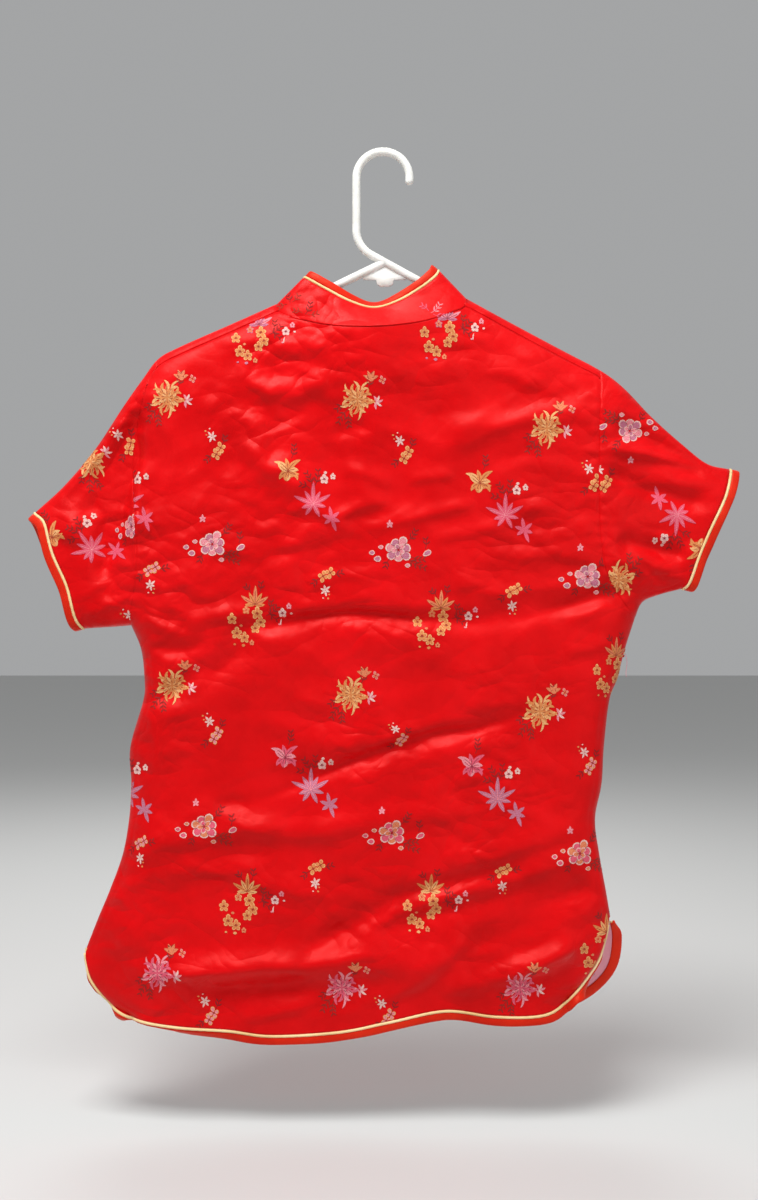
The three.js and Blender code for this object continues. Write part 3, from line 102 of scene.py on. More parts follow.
# ---------------- outline tables: x, z
SIDE_ROWS = [  # height, left edge, right edge
    (-427, -229, 229), (-449, -220, 220), (-476, -217, 213), (-495, -218, 206), (-538, -230, 201),
    (-571, -229, 199), (-603, -231, 193), (-636, -237, 197), (-669, -249, 203), (-693, -259, 207),
    (-721, -270, 205),
]
SLIT_TOP = {"left": -721, "right": -693}
HEM_CORNER = {"left": -757, "right": -750}
TOP_ROWS = {
    "left": [(-96, -134), (-142, -154.5), (-184, -173), (-204, -184), (-218, -202), (-237, -229),
             (-262, -267), (-290, -300), (-316, -324)],
    "right": [(76, -129.5), (120, -153.5), (164, -177), (197, -194.5), (219, -211), (245, -238),
              (273, -263), (295, -280), (315, -285)],
}
UNDER_ROWS = {
    "left": [(-229, -427), (-240, -428), (-256, -429), (-271, -430)],
    "right": [(229, -421), (236, -406), (252, -399), (271, -394)],
}
ARMHOLE_ROWS = {
    "left": [(-204, -184), (-213, -210), (-224, -252), (-227, -294), (-223, -335), (-222, -376),
             (-229, -427)],
    "right": [(197, -194.5), (195, -236), (194, -285), (195, -340), (200, -376), (211, -398),
              (229, -421)],
}
CUFF_ROWS = {  # x, how far the front half stands past the back's, z
    "left": [(-316, 0, -324), (-305, -6, -334), (-297, -4, -362), (-284, 0, -392), (-277, 0, -420),
             (-271, 0, -430)],
    "right": [(315, 0, -285), (308, 0, -310), (296, 1, -336), (284, 0, -364), (276, 0, -388),
              (271, 0, -394)],
}
HEM_BACK = [
    (-270, -721), (-269.6, -731), (-263.5, -749), (-246.6, -769.5), (-226.6, -781), (-185, -787),
    (-139, -790), (-100, -794.5), (-40, -791), (6, -782), (56, -772), (100, -777), (142, -777),
    (163, -768), (178, -753), (193, -732), (201, -713), (205.6, -693),
]
HEM_FRONT = [
    (-270, -721), (-259, -730), (-249, -744), (-235, -758), (-215, -769), (-183, -778),
    (-139, -785), (-100, -791), (-40, -789), (6, -780), (56, -771), (110, -776), (147, -775),
    (173, -767.5), (194, -754.5), (207, -737), (210, -713), (206, -693),
]
NECK_BACK = [
    (-96, -134), (-95.6, -139), (-93.6, -143.6), (-85, -147.6), (-70, -152), (-46, -156.8),
    (-10, -158.5), (22, -155.5), (46, -150), (64, -143), (73, -139), (75.6, -134.4), (76, -129.5),
]
NECK_FRONT = [(-96, -134), (-91, -160), (-66, -190), (-36, -205), (-10, -209)]
NECK_UNDERLAP = [(-10, -209), (18, -204), (50, -187), (72, -157), (76, -129.5)]
OPENING = [
    (-10, -209), (6, -238), (38, -270), (80, -304), (118, -345), (150, -388), (179, -424),
    (203, -446), (219, -454),
]
COLLAR_TOP = [  # from the left front, round the back, to the right front: x, y, z
    (-20.8, 21.5, -172), (-38, 20.5, -164), (-56, 17, -148), (-70, 8, -121), (-73, 0, -112.5),
    (-70, -7, -113.5), (-52, -11, -124), (-30, -11, -135), (-8, -9, -140), (15, -11, -134),
    (36, -11, -122), (49, -7, -111), (52, 0, -105), (50, 8, -116), (36, 17, -144), (18, 20.5, -162),
    (0.8, 21.5, -171),
]
DEPTH_ROWS = [(-120, 10.5), (-180, 12), (-230, 15), (-300, 17), (-440, 17), (-560, 15.5),
              (-650, 17), (-800, 18)]
NECK_BULGE = {"x": -10, "z": -168, "width": 62, "height": 52, "depth": 13}
NECK_HALF = 60
SLEEVE_FLATTENING = {"from": 205, "to": 255, "share": 0.3}
CURL = [(-221, 95), (-176, 52), (-121, 0), (166, 0), (179, 50), (191, 95)]  # x, degrees turned under
SLIT_DEPTH_SHARE = 0.4

# Folds: from x, z to x, z, height and width. The large ones are the frame's own.
FOLD_STRENGTH = {-1: 1.75, 1: 1.4}  # of the large folds, on the back and on the front
CREASE_STRENGTH = {-1: 1.5, 1: 0.7}
CRUMPLE_STRENGTH = {-1: 1.0, 1: 0.45}
LEAST_DEPTH = 2.6  # so that folds never bring the two faces together
FOLD_END = 0.12  # the share of its length over which a fold dies out
FOLDS_BACK = [
    (-136, -432, -35, -415, -3.0, 9), (-35, -415, 80, -424, -3.0, 9), (80, -424, 218, -397, -3.2, 9),
    (-200, -494, -118, -442, -3.6, 11), (-90, -568, 120, -507, -3.2, 10),
    (-215, -624, -95, -606, 3.0, 12), (-60, -610, 60, -592, 2.6, 12), (-75, -728, 25, -668, -4.0, 12),
    (25, -668, 130, -645, -3.6, 12), (-190, -742, 40, -728, 4.0, 15), (75, -712, 190, -662, -4.2, 12),
    (60, -752, 170, -716, 3.8, 13), (-130, -262, -70, -305, 2.6, 13), (60, -250, 190, -235, 2.8, 13),
]
FOLDS_FRONT = [
    (-150, -300, -60, -380, 2.8, 14), (30, -330, 150, -430, -3.0, 12), (-180, -470, 60, -520, -3.2, 11),
    (-60, -600, 150, -560, 3.0, 13), (-190, -660, -20, -700, 3.6, 14), (20, -690, 160, -740, -3.6, 13),
]
FOLDS_SLEEVES = [
    (-222, -232, -252, -390, -6.0, 11), (-262, -300, -285, -350, 3.0, 12),
    (214, -246, 292, -284, -4.0, 10), (205, -292, 290, -318, -3.0, 10), (214, -352, 272, -362, -3.2, 9),
]
# Creases: height, widths above and below, then the points of a path from left to right.
CREASES_BACK = [
    (2.2, 14, 7, (-136, -195), (-114, -209), (-94, -227)),
    (2, 12, 7, (-87, -226), (-65, -215), (-44, -206)),
    (-1.8, 8, 12, (-130, -215), (-101, -237), (-76, -229), (-44, -217)),
    (1.6, 10, 6, (-108, -295), (-110, -272), (-106, -251)),
    (1.8, 10, 6, (-144, -303), (-107, -293), (-74, -278)),
    (1.7, 8, 4, (-78, -316), (-48, -331), (-26, -345)),
    (-1.2, 5, 8, (-106, -366), (-57, -357), (-30, -349)),
    (1.6, 8, 4, (-48, -333), (-21, -322), (8, -315)),
    (1.5, 7, 4, (-19, -344), (15, -334), (88, -317)),
    (1.5, 8, 4, (20, -298), (43, -294), (66, -292)),
    (1.3, 7, 5, (-39, -286), (-15, -291), (8, -304)),
    (1.3, 8, 5, (43, -349), (79, -344), (125, -331)),
    (1.4, 9, 5, (66, -268), (106, -249), (147, -238)),
    (1.6, 10, 6, (106, -368), (147, -364), (197, -368)),
    (1.2, 8, 5, (79, -404), (134, -395), (187, -386)),
    (-1.5, 4, 4, (-107, -424), (-48, -417), (-10, -416), (70, -426)),
    (1.5, 10, 4, (-110, -419), (-48, -412), (-10, -411), (52, -420)),
    (1.4, 7, 5, (70, -426), (125, -415), (161, -404), (196, -393)),
    (2, 8, 6, (-218, -413), (-196, -430), (-167, -440)),
    (-2, 6, 6, (-212, -445), (-185, -450), (-154, -444)),
    (1.8, 8, 6, (-203, -404), (-179, -419), (-159, -437)),
    (1.8, 9, 5, (-176, -424), (-141, -419), (-110, -420)),
    (2, 10, 6, (-183, -497), (-156, -466), (-128, -442)),
    (-1.3, 4, 4, (-129, -588), (-76, -571), (-25, -547), (48, -523), (82, -520), (143, -503)),
    (1.4, 12, 4, (-129, -582), (-76, -566), (-25, -541), (48, -518), (82, -514), (147, -498)),
    (2.4, 12, 6, (-212, -621), (-162, -596), (-121, -608), (-84, -616), (-25, -616)),
    (-2, 6, 6, (-153, -592), (-137, -586), (-121, -590)),
    (2.6, 14, 8, (-212, -653), (-162, -648), (-121, -652), (-84, -664), (-30, -671)),
    (2.6, 14, 7, (-14, -671), (40, -653), (106, -632), (197, -602)),
    (3.4, 14, 7, (-43, -720), (7, -687), (56, -670), (147, -644), (196, -628)),
    (-2.6, 9, 12, (-21, -723), (34, -691), (88, -679), (161, -659)),
    (3.6, 15, 7, (-233, -749), (-185, -739), (-134, -733), (-43, -725), (32, -708)),
    (-3.4, 8, 14, (-176, -754), (-121, -752), (-48, -746)),
    (3, 14, 8, (-25, -774), (32, -745), (74, -712), (134, -688), (197, -670)),
    (-2.4, 8, 10, (52, -754), (106, -727), (170, -704)),
    (2.2, 10, 6, (98, -748), (143, -730), (187, -710)),
    (1.6, 9, 6, (136, -767), (163, -759), (189, -744)),
    (2, 10, 7, (-262, -741), (-239, -768), (-212, -781)),
    (2, 10, 6, (-139, -786), (-85, -772), (-48, -759)),
    (1.5, 9, 6, (-248, -682), (-226, -659), (-203, -648)),
    (1.4, 9, 6, (161, -775), (188, -759), (197, -743)),
    (1.2, 8, 5, (188, -495), (197, -550), (196, -595)),
    (1.2, 8, 6, (-212, -495), (-203, -541), (-212, -586)),
    (1.2, 9, 6, (-203, -240), (-187, -268), (-188, -304)),
    (1.3, 9, 6, (79, -195), (125, -204), (161, -222)),
    (1.2, 10, 6, (-121, -167), (-76, -178), (-30, -177)),
    (-1, 7, 7, (-3, -177), (43, -184), (88, -178)),
    (1.4, 9, 5, (161, -451), (194, -446), (207, -440)),
    (1.2, 6, 5, (161, -424), (188, -415), (203, -404)),
    (-1.2, 6, 6, (-48, -258), (-30, -249), (-10, -251)),
    (1.3, 8, 5, (-167, -368), (-134, -360), (-103, -368)),
    (1.2, 7, 5, (-76, -395), (-39, -382), (-3, -386)),
]
CREASES_SLEEVES = [
    (4.4, 8, 6, (-294, -311), (-265, -278), (-241, -248), (-216, -211)),
    (-7.5, 22, 13, (-281, -336), (-254, -306), (-231, -280), (-216, -254)),
    (2.4, 6, 5, (-214, -262), (-221, -300), (-222, -350), (-220, -392)),
    (-2.4, 10, 14, (-261, -368), (-250, -331), (-241, -295)),
    (1.8, 8, 6, (-270, -404), (-248, -381), (-239, -340)),
    (1.6, 6, 5, (-272, -424), (-252, -411), (-230, -408)),
    (2.2, 8, 4, (197, -267), (234, -273), (288, -281)),
    (2, 8, 5, (214, -209), (252, -244), (288, -278)),
    (-1.6, 5, 8, (197, -273), (241, -280), (292, -289)),
    (1.6, 8, 4, (208, -300), (243, -298), (288, -306)),
    (2.2, 8, 5, (220, -355), (243, -373), (274, -391)),
    (1.8, 8, 5, (201, -364), (225, -373), (252, -391)),
    (-1.6, 6, 7, (227, -368), (252, -386), (274, -397)),
    (1.3, 6, 5, (243, -346), (267, -355), (283, -369)),
]
CREASES_FRONT = [
    (2.0, 12, 6, (-150, -250), (-110, -280), (-60, -300)),
    (-1.8, 5, 8, (-190, -330), (-130, -350), (-60, -352)),
    (1.8, 9, 5, (-180, -430), (-120, -440), (-40, -420)),
    (1.6, 10, 5, (20, -390), (80, -410), (150, -396)),
    (2.2, 12, 6, (-200, -600), (-120, -590), (-20, -606)),
    (2.4, 12, 6, (10, -640), (90, -620), (180, -580)),
    (3.0, 14, 7, (-200, -720), (-100, -704), (30, -712)),
    (-2.6, 8, 12, (-160, -740), (-60, -734), (20, -742)),
    (2.2, 10, 6, (60, -740), (120, -716), (180, -680)),
    (1.6, 9, 6, (60, -500), (130, -490), (190, -506)),
    (1.6, 8, 5, (-210, -520), (-160, -540), (-110, -536)),
    (1.4, 8, 5, (100, -300), (140, -306), (185, -300)),
]
CRUMPLES = [  # size, height, stretch, degrees, seed
    (60, 3.0, 1.9, 14, 3), (38, 2.3, 1.7, -24, 11), (23, 1.1, 1.6, 30, 23), (12, 0.22, 1.3, 5, 31),
]
CRUMPLE_MIDDLE = {"x": -20, "z": -290, "width": 190, "height": 120, "least": 0.4}
CRUMPLE_WARP, CRUMPLE_WARP_SIZE = 16, 60
CRUMPLE_SOFTNESS = 0.004
SEAM_GROOVE, SEAM_GROOVE_WIDTH = 0.5, 1.7
GATHER, GATHER_REACH = 0.4, 8
SIDE_SEAM_INSET = 7
HEM_STIFF, HEM_REACH = 0.15, 26  # the share of the fine folds at the hem, and how far in it is felt


# ---------------- small mathematics
def smooth(t):
    t = np.clip(t, 0, 1)
    return t * t * (3 - 2 * t)


def unit(v):
    return v / np.maximum(np.linalg.norm(v, axis=-1, keepdims=True), 1e-12)


def tangents(path):
    """Directions along a path, each from the point before to the point after."""
    return unit(np.vstack([path[1:], path[-1:]]) - np.vstack([path[:1], path[:-1]]))


def ring_angles(count):
    return np.linspace(0, 2 * math.pi, count, endpoint=False)[None, :, None]


def track(rows, count):
    """Points along a smooth path through the rows."""
    p = np.array(rows, float)
    t = np.linspace(0, len(p) - 1, count + 1)
    i = np.minimum(t.astype(int), len(p) - 2)
    w = (t - i)[:, None]
    around = np.vstack([2 * p[0] - p[1], p, 2 * p[-1] - p[-2]])
    p0, p1, p2, p3 = (around[i + k] for k in range(4))
    a, b = 0.5 * (p2 - p0), 0.5 * (p3 - p1)
    return p1 + a * w + (-3 * p1 + 3 * p2 - 2 * a - b) * w**2 + (2 * p1 - 2 * p2 + a + b) * w**3


def lengths(path):
    return np.concatenate([[0], np.cumsum(np.linalg.norm(np.diff(path, axis=0), axis=1))])


def at_shares(path, shares):
    """Points of a path at shares of its length."""
    along = lengths(path)
    wanted = np.clip(shares, 0, 1) * along[-1]
    return np.stack([np.interp(wanted, along, path[:, k]) for k in range(path.shape[1])], axis=1)


def shifted(path, dx=0.0, dz=0.0):
    return path + np.array([dx, dz])


def staged(stages):
    """Paths end to end, each up to its own mark between 0 and 1."""
    def along(t):
        t = np.atleast_1d(np.asarray(t, float))
        out = np.zeros((len(t), 2))
        start = 0.0
        for k, (path, to) in enumerate(stages):
            here = (t <= to + 1e-9) & (t > start + 1e-9) if k else t <= to + 1e-9
            out[here] = at_shares(path, (t[here] - start) / (to - start))
            start = to
        return out
    return along


def height_at(path, x):
    """The height of a path that runs across the garment."""
    order = np.argsort(path[:, 0])
    return np.interp(x, path[order, 0], path[order, 1])


def distance_to(path, x, z):
    """Distances of points from a path."""
    best = np.full(np.shape(x), np.inf)
    for a, b in zip(path[:-1], path[1:]):
        dx, dz = b - a
        if dx == dz == 0:
            continue
        t = np.clip(((x - a[0]) * dx + (z - a[1]) * dz) / (dx * dx + dz * dz), 0, 1)
        best = np.minimum(best, np.hypot(x - a[0] - t * dx, z - a[1] - t * dz))
    return best


# ---------------- the pillow's depth
SIDES = ("left", "right")


def side_rows(side):
    column = 1 if side == "left" else 2
    rows = [(row[column], row[0]) for row in SIDE_ROWS if row[0] >= SLIT_TOP[side]]
    rows[0] = UNDER_ROWS[side][0]
    return rows


SIDE = {side: track(side_rows(side), 60) for side in SIDES}
TOP = {side: track(TOP_ROWS[side], 90) for side in SIDES}
UNDER_SLEEVE = {side: track(UNDER_ROWS[side], 12) for side in SIDES}
UNDER = {side: np.vstack([SIDE[side][::-1], UNDER_SLEEVE[side][1:]]) for side in SIDES}
ARMHOLE = {side: track(ARMHOLE_ROWS[side], 50) for side in SIDES}
SLITS = [track(HEM_BACK[:5], 20), track(HEM_BACK[-5:], 20)]
HEM_LINE = track(HEM_BACK, 60)
SIDE_SEAM = {
    "left": shifted(SIDE["left"][6::3], SIDE_SEAM_INSET),
    "right": shifted(SIDE["right"][6::3], -SIDE_SEAM_INSET),
}


def rise(distance, reach=EDGE_ROUND):
    """The rounding of the pillow towards an edge, from 0 to 1."""
    s = np.clip((distance - ON_EDGE) / reach, 0, 1)
    return np.sqrt(1 - (1 - s) ** 2)


def fold_height(folds, x, z, strength):
    """Straight folds that die out towards their ends."""
    total = np.zeros(np.shape(x))
    for x0, z0, x1, z1, height, width in folds:
        dx, dz = x1 - x0, z1 - z0
        along = ((x - x0) * dx + (z - z0) * dz) / (dx * dx + dz * dz)
        across = ((x - x0) * dz - (z - z0) * dx) / math.hypot(dx, dz)
        from_end = np.minimum(along, 1 - along) + FOLD_END
        share = smooth(from_end / (2 * FOLD_END))
        total += strength * height * share * np.exp(-((across / width) ** 2))
    return total


def crease_height(creases, x, z):
    """Creases with one steeper side each, that die out towards their ends."""
    total = np.zeros(np.shape(x))
    for height, above, below, *rows in creases:
        path = track(rows, 5 * (len(rows) - 1))
        along = lengths(path)
        nearest = np.full(np.shape(x), np.inf)
        over, reached = np.zeros(np.shape(x), bool), np.zeros(np.shape(x))
        for k, (a, b) in enumerate(zip(path[:-1], path[1:])):
            dx, dz = b - a
            span = math.hypot(dx, dz)
            t = np.clip(((x - a[0]) * dx + (z - a[1]) * dz) / span**2, 0, 1)
            distance = np.hypot(x - a[0] - t * dx, z - a[1] - t * dz)
            closer = distance < nearest
            nearest = np.where(closer, distance, nearest)
            over = np.where(closer, (x - a[0]) * dz - (z - a[1]) * dx < 0, over)
            reached = np.where(closer, along[k] + t * span, reached)
        share = smooth(3.2 * np.minimum(reached, along[-1] - reached) / along[-1] + 0.12)
        total += height * share * np.exp(-((nearest / np.where(over, above, below)) ** 2))
    return total


def lattice(x, z, seed):
    """Smooth noise between -1 and 1, one unit from lump to lump."""
    table = np.random.RandomState(seed).uniform(-1, 1, (64, 64))
    i, j = np.floor(x).astype(int), np.floor(z).astype(int)
    u, v = smooth(x - i), smooth(z - j)
    low = table[i % 64, j % 64] * (1 - u) + table[(i + 1) % 64, j % 64] * u
    high = table[i % 64, (j + 1) % 64] * (1 - u) + table[(i + 1) % 64, (j + 1) % 64] * u
    return low * (1 - v) + high * v


def crumple(x, z, side):
    """Soft creases of several sizes, the most between the shoulder blades."""
    m = CRUMPLE_MIDDLE
    share = m["least"] + (1 - m["least"]) * np.exp(
        -(((x - m["x"]) / m["width"]) ** 2) - ((z - m["z"]) / m["height"]) ** 2)
    wx, wz = (CRUMPLE_WARP * lattice(x / CRUMPLE_WARP_SIZE, z / CRUMPLE_WARP_SIZE, seed) for seed in (5, 7))
    total = np.zeros(np.shape(x))
    for size, height, stretch, turn, seed in CRUMPLES:
        c, s = math.cos(math.radians(turn)), math.sin(math.radians(turn))
        along, across = (x + wx) * c + (z + wz) * s, (z + wz) * c - (x + wx) * s
        lump = lattice(along / (size * stretch), across / size, seed + (50 if side > 0 else 0))
        total += height * (0.75 - 1.7 * np.sqrt(lump**2 + CRUMPLE_SOFTNESS))
    return total * share


def seam_relief(x, z, side):
    """The valleys of the seams, with small gathers beside the armholes."""
    total = np.zeros(np.shape(x))
    for name in SIDES:
        distance = distance_to(ARMHOLE[name][::3], x, z)
        total -= SEAM_GROOVE * np.exp(-((distance / SEAM_GROOVE_WIDTH) ** 2))
        total += GATHER * np.exp(-distance / GATHER_REACH) * np.sin(0.62 * z + 0.9 * np.sin(0.07 * z))
        if side < 0:
            for seam in (shifted(TOP[name][:40:3], dz=-SHOULDER_WRAP), SIDE_SEAM[name]):
                total -= SEAM_GROOVE * np.exp(-((distance_to(seam, x, z) / SEAM_GROOVE_WIDTH) ** 2))
    return total


def depth_at(x, z, side):
    """How far a face lies from the garment's middle plane."""
    x, z = np.asarray(x, float), np.asarray(z, float)
    closing = np.ones(np.shape(x))
    for edge in (*TOP.values(), *UNDER.values()):
        closing = closing * rise(distance_to(edge, x, z))
    slit = np.minimum(*(distance_to(edge, x, z) for edge in SLITS))
    slit_share = SLIT_DEPTH_SHARE + (1 - SLIT_DEPTH_SHARE) * rise(slit, 2 * EDGE_ROUND)
    b, s = NECK_BULGE, SLEEVE_FLATTENING
    bulge = b["depth"] * np.exp(-(((x - b["x"]) / b["width"]) ** 2) - ((z - b["z"]) / b["height"]) ** 2)
    sleeve_share = 1 - s["share"] * smooth((np.abs(x) - s["from"]) / (s["to"] - s["from"]))
    rows = np.array(DEPTH_ROWS[::-1], float)
    full = (np.interp(z, rows[:, 0], rows[:, 1]) + bulge) * sleeve_share * slit_share
    large, fine = (FOLDS_BACK, CREASES_BACK) if side < 0 else (FOLDS_FRONT, CREASES_FRONT)
    strength = FOLD_STRENGTH[side]
    folds = fold_height(large, x, z, strength) + fold_height(FOLDS_SLEEVES, x, z, strength)
    fine = CREASE_STRENGTH[side] * (crease_height(fine, x, z) + crease_height(CREASES_SLEEVES, x, z))
    fine += CRUMPLE_STRENGTH[side] * crumple(x, z, side)
    folds += fine * (HEM_STIFF + (1 - HEM_STIFF) * smooth(distance_to(HEM_LINE, x, z) / HEM_REACH))
    return closing * np.maximum(full + folds * closing + seam_relief(x, z, side), LEAST_DEPTH)


def on_face(plan, side):
    """Points of the pillow above a plan of (x, z)."""
    x, z = plan[..., 0], plan[..., 1]
    depth = np.maximum(depth_at(x, z, side), HALF)
    return np.stack([x, side * depth, z], axis=-1)


# ---------------- patches
def patch(bottom, top, left, right, us, vs):
    """A patch between four edges, each a function from 0 to 1 that gives (x, z)."""
    u, v = np.asarray(us)[None, :, None], np.asarray(vs)[:, None, None]
    b, t, l, r = bottom(us)[None], top(us)[None], left(vs)[:, None], right(vs)[:, None]
    c00, c10, c01, c11 = bottom([0])[0], bottom([1])[0], top([0])[0], top([1])[0]
    return (b * (1 - v) + t * v + l * (1 - u) + r * u
            - (1 - u) * (1 - v) * c00 - u * (1 - v) * c10 - (1 - u) * v * c01 - u * v * c11)


def whole(path):
    return lambda shares: at_shares(path, np.asarray(shares, float))


def eased_from(start, end, count):
    return start + (end - start) * np.linspace(0, 1, count + 1) ** EDGE_EASE


def eased_to(start, end, count):
    return end + (start - end) * np.linspace(1, 0, count + 1) ** EDGE_EASE


def hem_parts(rows):
    """The outline below the slits' tops, in three: up the left slit, the hem, up the right slit."""
    points = track(rows, 340)
    left = int(np.argmax(points[:, 1] < HEM_CORNER["left"]))
    right = len(points) - 1 - int(np.argmax(points[::-1, 1] < HEM_CORNER["right"]))
    return points[: left + 1][::-1], points[left : right + 1], points[right:]


def rows_up_to(*stops):
    """Rows from 0, evenly spaced up to each stop: a share of the side edge, and how many rows lead to it."""
    rows, start = [np.zeros(1)], 0
    for share, count in stops:
        rows.append(np.linspace(start, share, count + 1)[1:])
        start = share
    return np.concatenate(rows)


LOWER_STOPS = ((SLIT_MARK, SLIT_ROWS), (ARM_MARK, BODY_ROWS))
BACK_ROWS = rows_up_to(*LOWER_STOPS, (1, ARM_ROWS))
FRONT_ROWS = rows_up_to(*LOWER_STOPS, (ARM_TOP, FRONT_ARM_ROWS))
UNDERLAP_ROWS = rows_up_to((UNDERLAP_SIDE_MARK, UNDERLAP_SIDE_ROWS), (UNDERLAP_TOP, UNDERLAP_ARM_ROWS))


def side_up(side):
    return SIDE[side][::-1]


def side_edge(slit, side, arm):
    """A panel's side edge from the hem up: the slit, the side seam and the armhole."""
    upper = np.vstack([side_up(side)[-1:], arm[::-1]])
    return staged([(slit, SLIT_MARK), (side_up(side), ARM_MARK), (upper, 1)])


def back_grid():
    """The back's grid, and the columns between which its top row is the neck edge."""
    seam = {side: shifted(TOP[side], dz=-SHOULDER_WRAP - HALF) for side in SIDES}
    neck = track(NECK_BACK, 180)
    below = {side: neck[:, 1] < height_at(seam[side], neck[:, 0]) for side in SIDES}
    first = int(np.argmax(below["left"]))
    last = len(neck) - 1 - int(np.argmax(below["right"][::-1]))
    neck = neck[first : last + 1]
    arm, shoulder = {}, {}
    for side, gap, neck_x in (("left", HALF, neck[0, 0]), ("right", -HALF, neck[-1, 0])):
        edge = shifted(ARMHOLE[side], gap)
        arm[side] = edge[edge[:, 1] < height_at(seam[side], edge[:, 0])]
        low, high = sorted((arm[side][0, 0], neck_x))
        shoulder[side] = seam[side][(seam[side][:, 0] > low) & (seam[side][:, 0] < high)]
    left = np.vstack([arm["left"][:1], shoulder["left"][::-1]])
    right = np.vstack([shoulder["right"], arm["right"][:1]])
    path = np.vstack([left, neck, right])
    total = lengths(path)[-1]
    start = lengths(np.vstack([left, neck[:1]]))[-1] / total
    end = 1 - lengths(np.vstack([neck[-1:], right]))[-1] / total
    us = np.concatenate([
        eased_from(0, start, BACK_SHOULDER), np.linspace(start, end, BACK_NECK + 1)[1:],
        eased_to(end, 1, BACK_SHOULDER)[1:]])
    hem_left, hem, hem_right = hem_parts(HEM_BACK)
    plan = patch(whole(hem), whole(path), side_edge(hem_left, "left", arm["left"]),
                 side_edge(hem_right, "right", arm["right"]), us, BACK_ROWS)
    return on_face(plan, -1), (BACK_SHOULDER, BACK_SHOULDER + BACK_NECK)


def neck_over_fold(rows, top):
    """The neck edge as the unfolded cloth has it, from the shoulder seam behind the fold to the centre."""
    neck = track(NECK_BACK, 90)
    if rows[0][0] > 0:
        neck = neck[::-1]
    start = neck[int(np.argmax(neck[:, 1] < height_at(top, neck[:, 0]) - SHOULDER_WRAP))]
    unfolded = (start[0], 2 * height_at(top, start[0]) - start[1] - SHOULDER_GAP)
    return track([unfolded, *rows], 120)


def neck_stops(path):
    """Where the columns meet the neck edge, as lengths along it; the last step lies past the collar's end."""
    total = lengths(path)[-1]
    return np.concatenate([np.linspace(0, total - COLLAR_END, FRONT_NECK)[1:], [total]])


def kept_in_order(x):
    """Rows of x that only increase, with their ends kept."""
    steps = np.maximum(np.diff(x, axis=1), LEAST_STEP)
    along = np.concatenate([np.zeros((len(x), 1)), np.cumsum(steps, axis=1)], axis=1)
    return x[:, :1] + along * (x[:, -1:] - x[:, :1]) / along[:, -1:]


def turned_patch(edges, us, lower_rows, top, on_shoulder):
    """A patch whose upper rows follow the turn over the shoulder where on_shoulder holds."""
    upper_rows = 1 - TURN / (TURN[0] / (1 - lower_rows[-1]) + 1)
    plan = patch(*edges, us, np.concatenate([lower_rows, upper_rows]))
    plan[:-1, :, 0] = kept_in_order(plan[:-1, :, 0])
    seam = height_at(top, plan[-len(TURN):, :, 0]) + SHOULDER_WRAP - SHOULDER_GAP
    turned = seam - TURN[:, None]
    plan[-len(TURN):, :, 1] = np.where(on_shoulder[None, :], turned, plan[-len(TURN):, :, 1])
    x, z = plan[..., 0], plan[..., 1]
    fold = np.where(np.abs(x - NECK_BULGE["x"]) > NECK_HALF, height_at(top, x), np.inf)
    behind = z > fold
    front = on_face(plan, 1)
    back = on_face(np.stack([x, np.where(behind, 2 * fold - z, z)], axis=-1), -1)
    return np.where(behind[..., None], back, front)


def front_grid():
    """The front's grid, and the columns between which its top row is the neck edge."""
    arm = shifted(ARMHOLE["left"], HALF)
    seam = shifted(TOP["left"], dz=SHOULDER_WRAP - SHOULDER_GAP)
    neck = neck_over_fold(NECK_FRONT, TOP["left"])
    opening = track(OPENING, 120)
    between = seam[(seam[:, 0] > arm[0, 0] + 1) & (seam[:, 0] < neck[0, 0] - 1)]
    between = between[np.argsort(between[:, 0])]
    shoulder = np.vstack([[(arm[0, 0], height_at(seam, arm[0, 0]))], between, neck[:1]])
    path = np.vstack([shoulder, neck[1:], opening[1:]])
    total = lengths(path)[-1]
    before = lengths(shoulder)[-1]
    neck_end = before + lengths(neck)[-1]
    side = side_up("right")
    side = np.vstack([side[side[:, 1] < opening[-1, 1] - 1], opening[-1:]])
    hem_left, hem, hem_right = hem_parts(HEM_FRONT)
    left_arm = np.vstack([path[:1], arm[1:]])
    neck_us = (before + neck_stops(neck)) / total
    us = np.concatenate([
        eased_from(0, before / total, FRONT_SHOULDER), neck_us,
        eased_to(neck_end / total, 1, FRONT_OPENING)[1:]])
    edges = (whole(hem), whole(path), side_edge(hem_left, "left", left_arm),
             staged([(hem_right, SLIT_MARK), (side, 1)]))
    on_shoulder = us <= before / total + 1e-9
    grid = turned_patch(edges, us, FRONT_ROWS, TOP["left"], on_shoulder)
    return grid, (FRONT_SHOULDER, FRONT_SHOULDER + len(neck_us))


def underlap_inset(x, z):
    from_arm = smooth(distance_to(ARMHOLE["right"], x, z) / UNDERLAP_EASE)
    from_fold = smooth((distance_to(TOP["right"], x, z) - 2) / UNDERLAP_EASE)
    return UNDERLAP_INSET * from_arm * from_fold


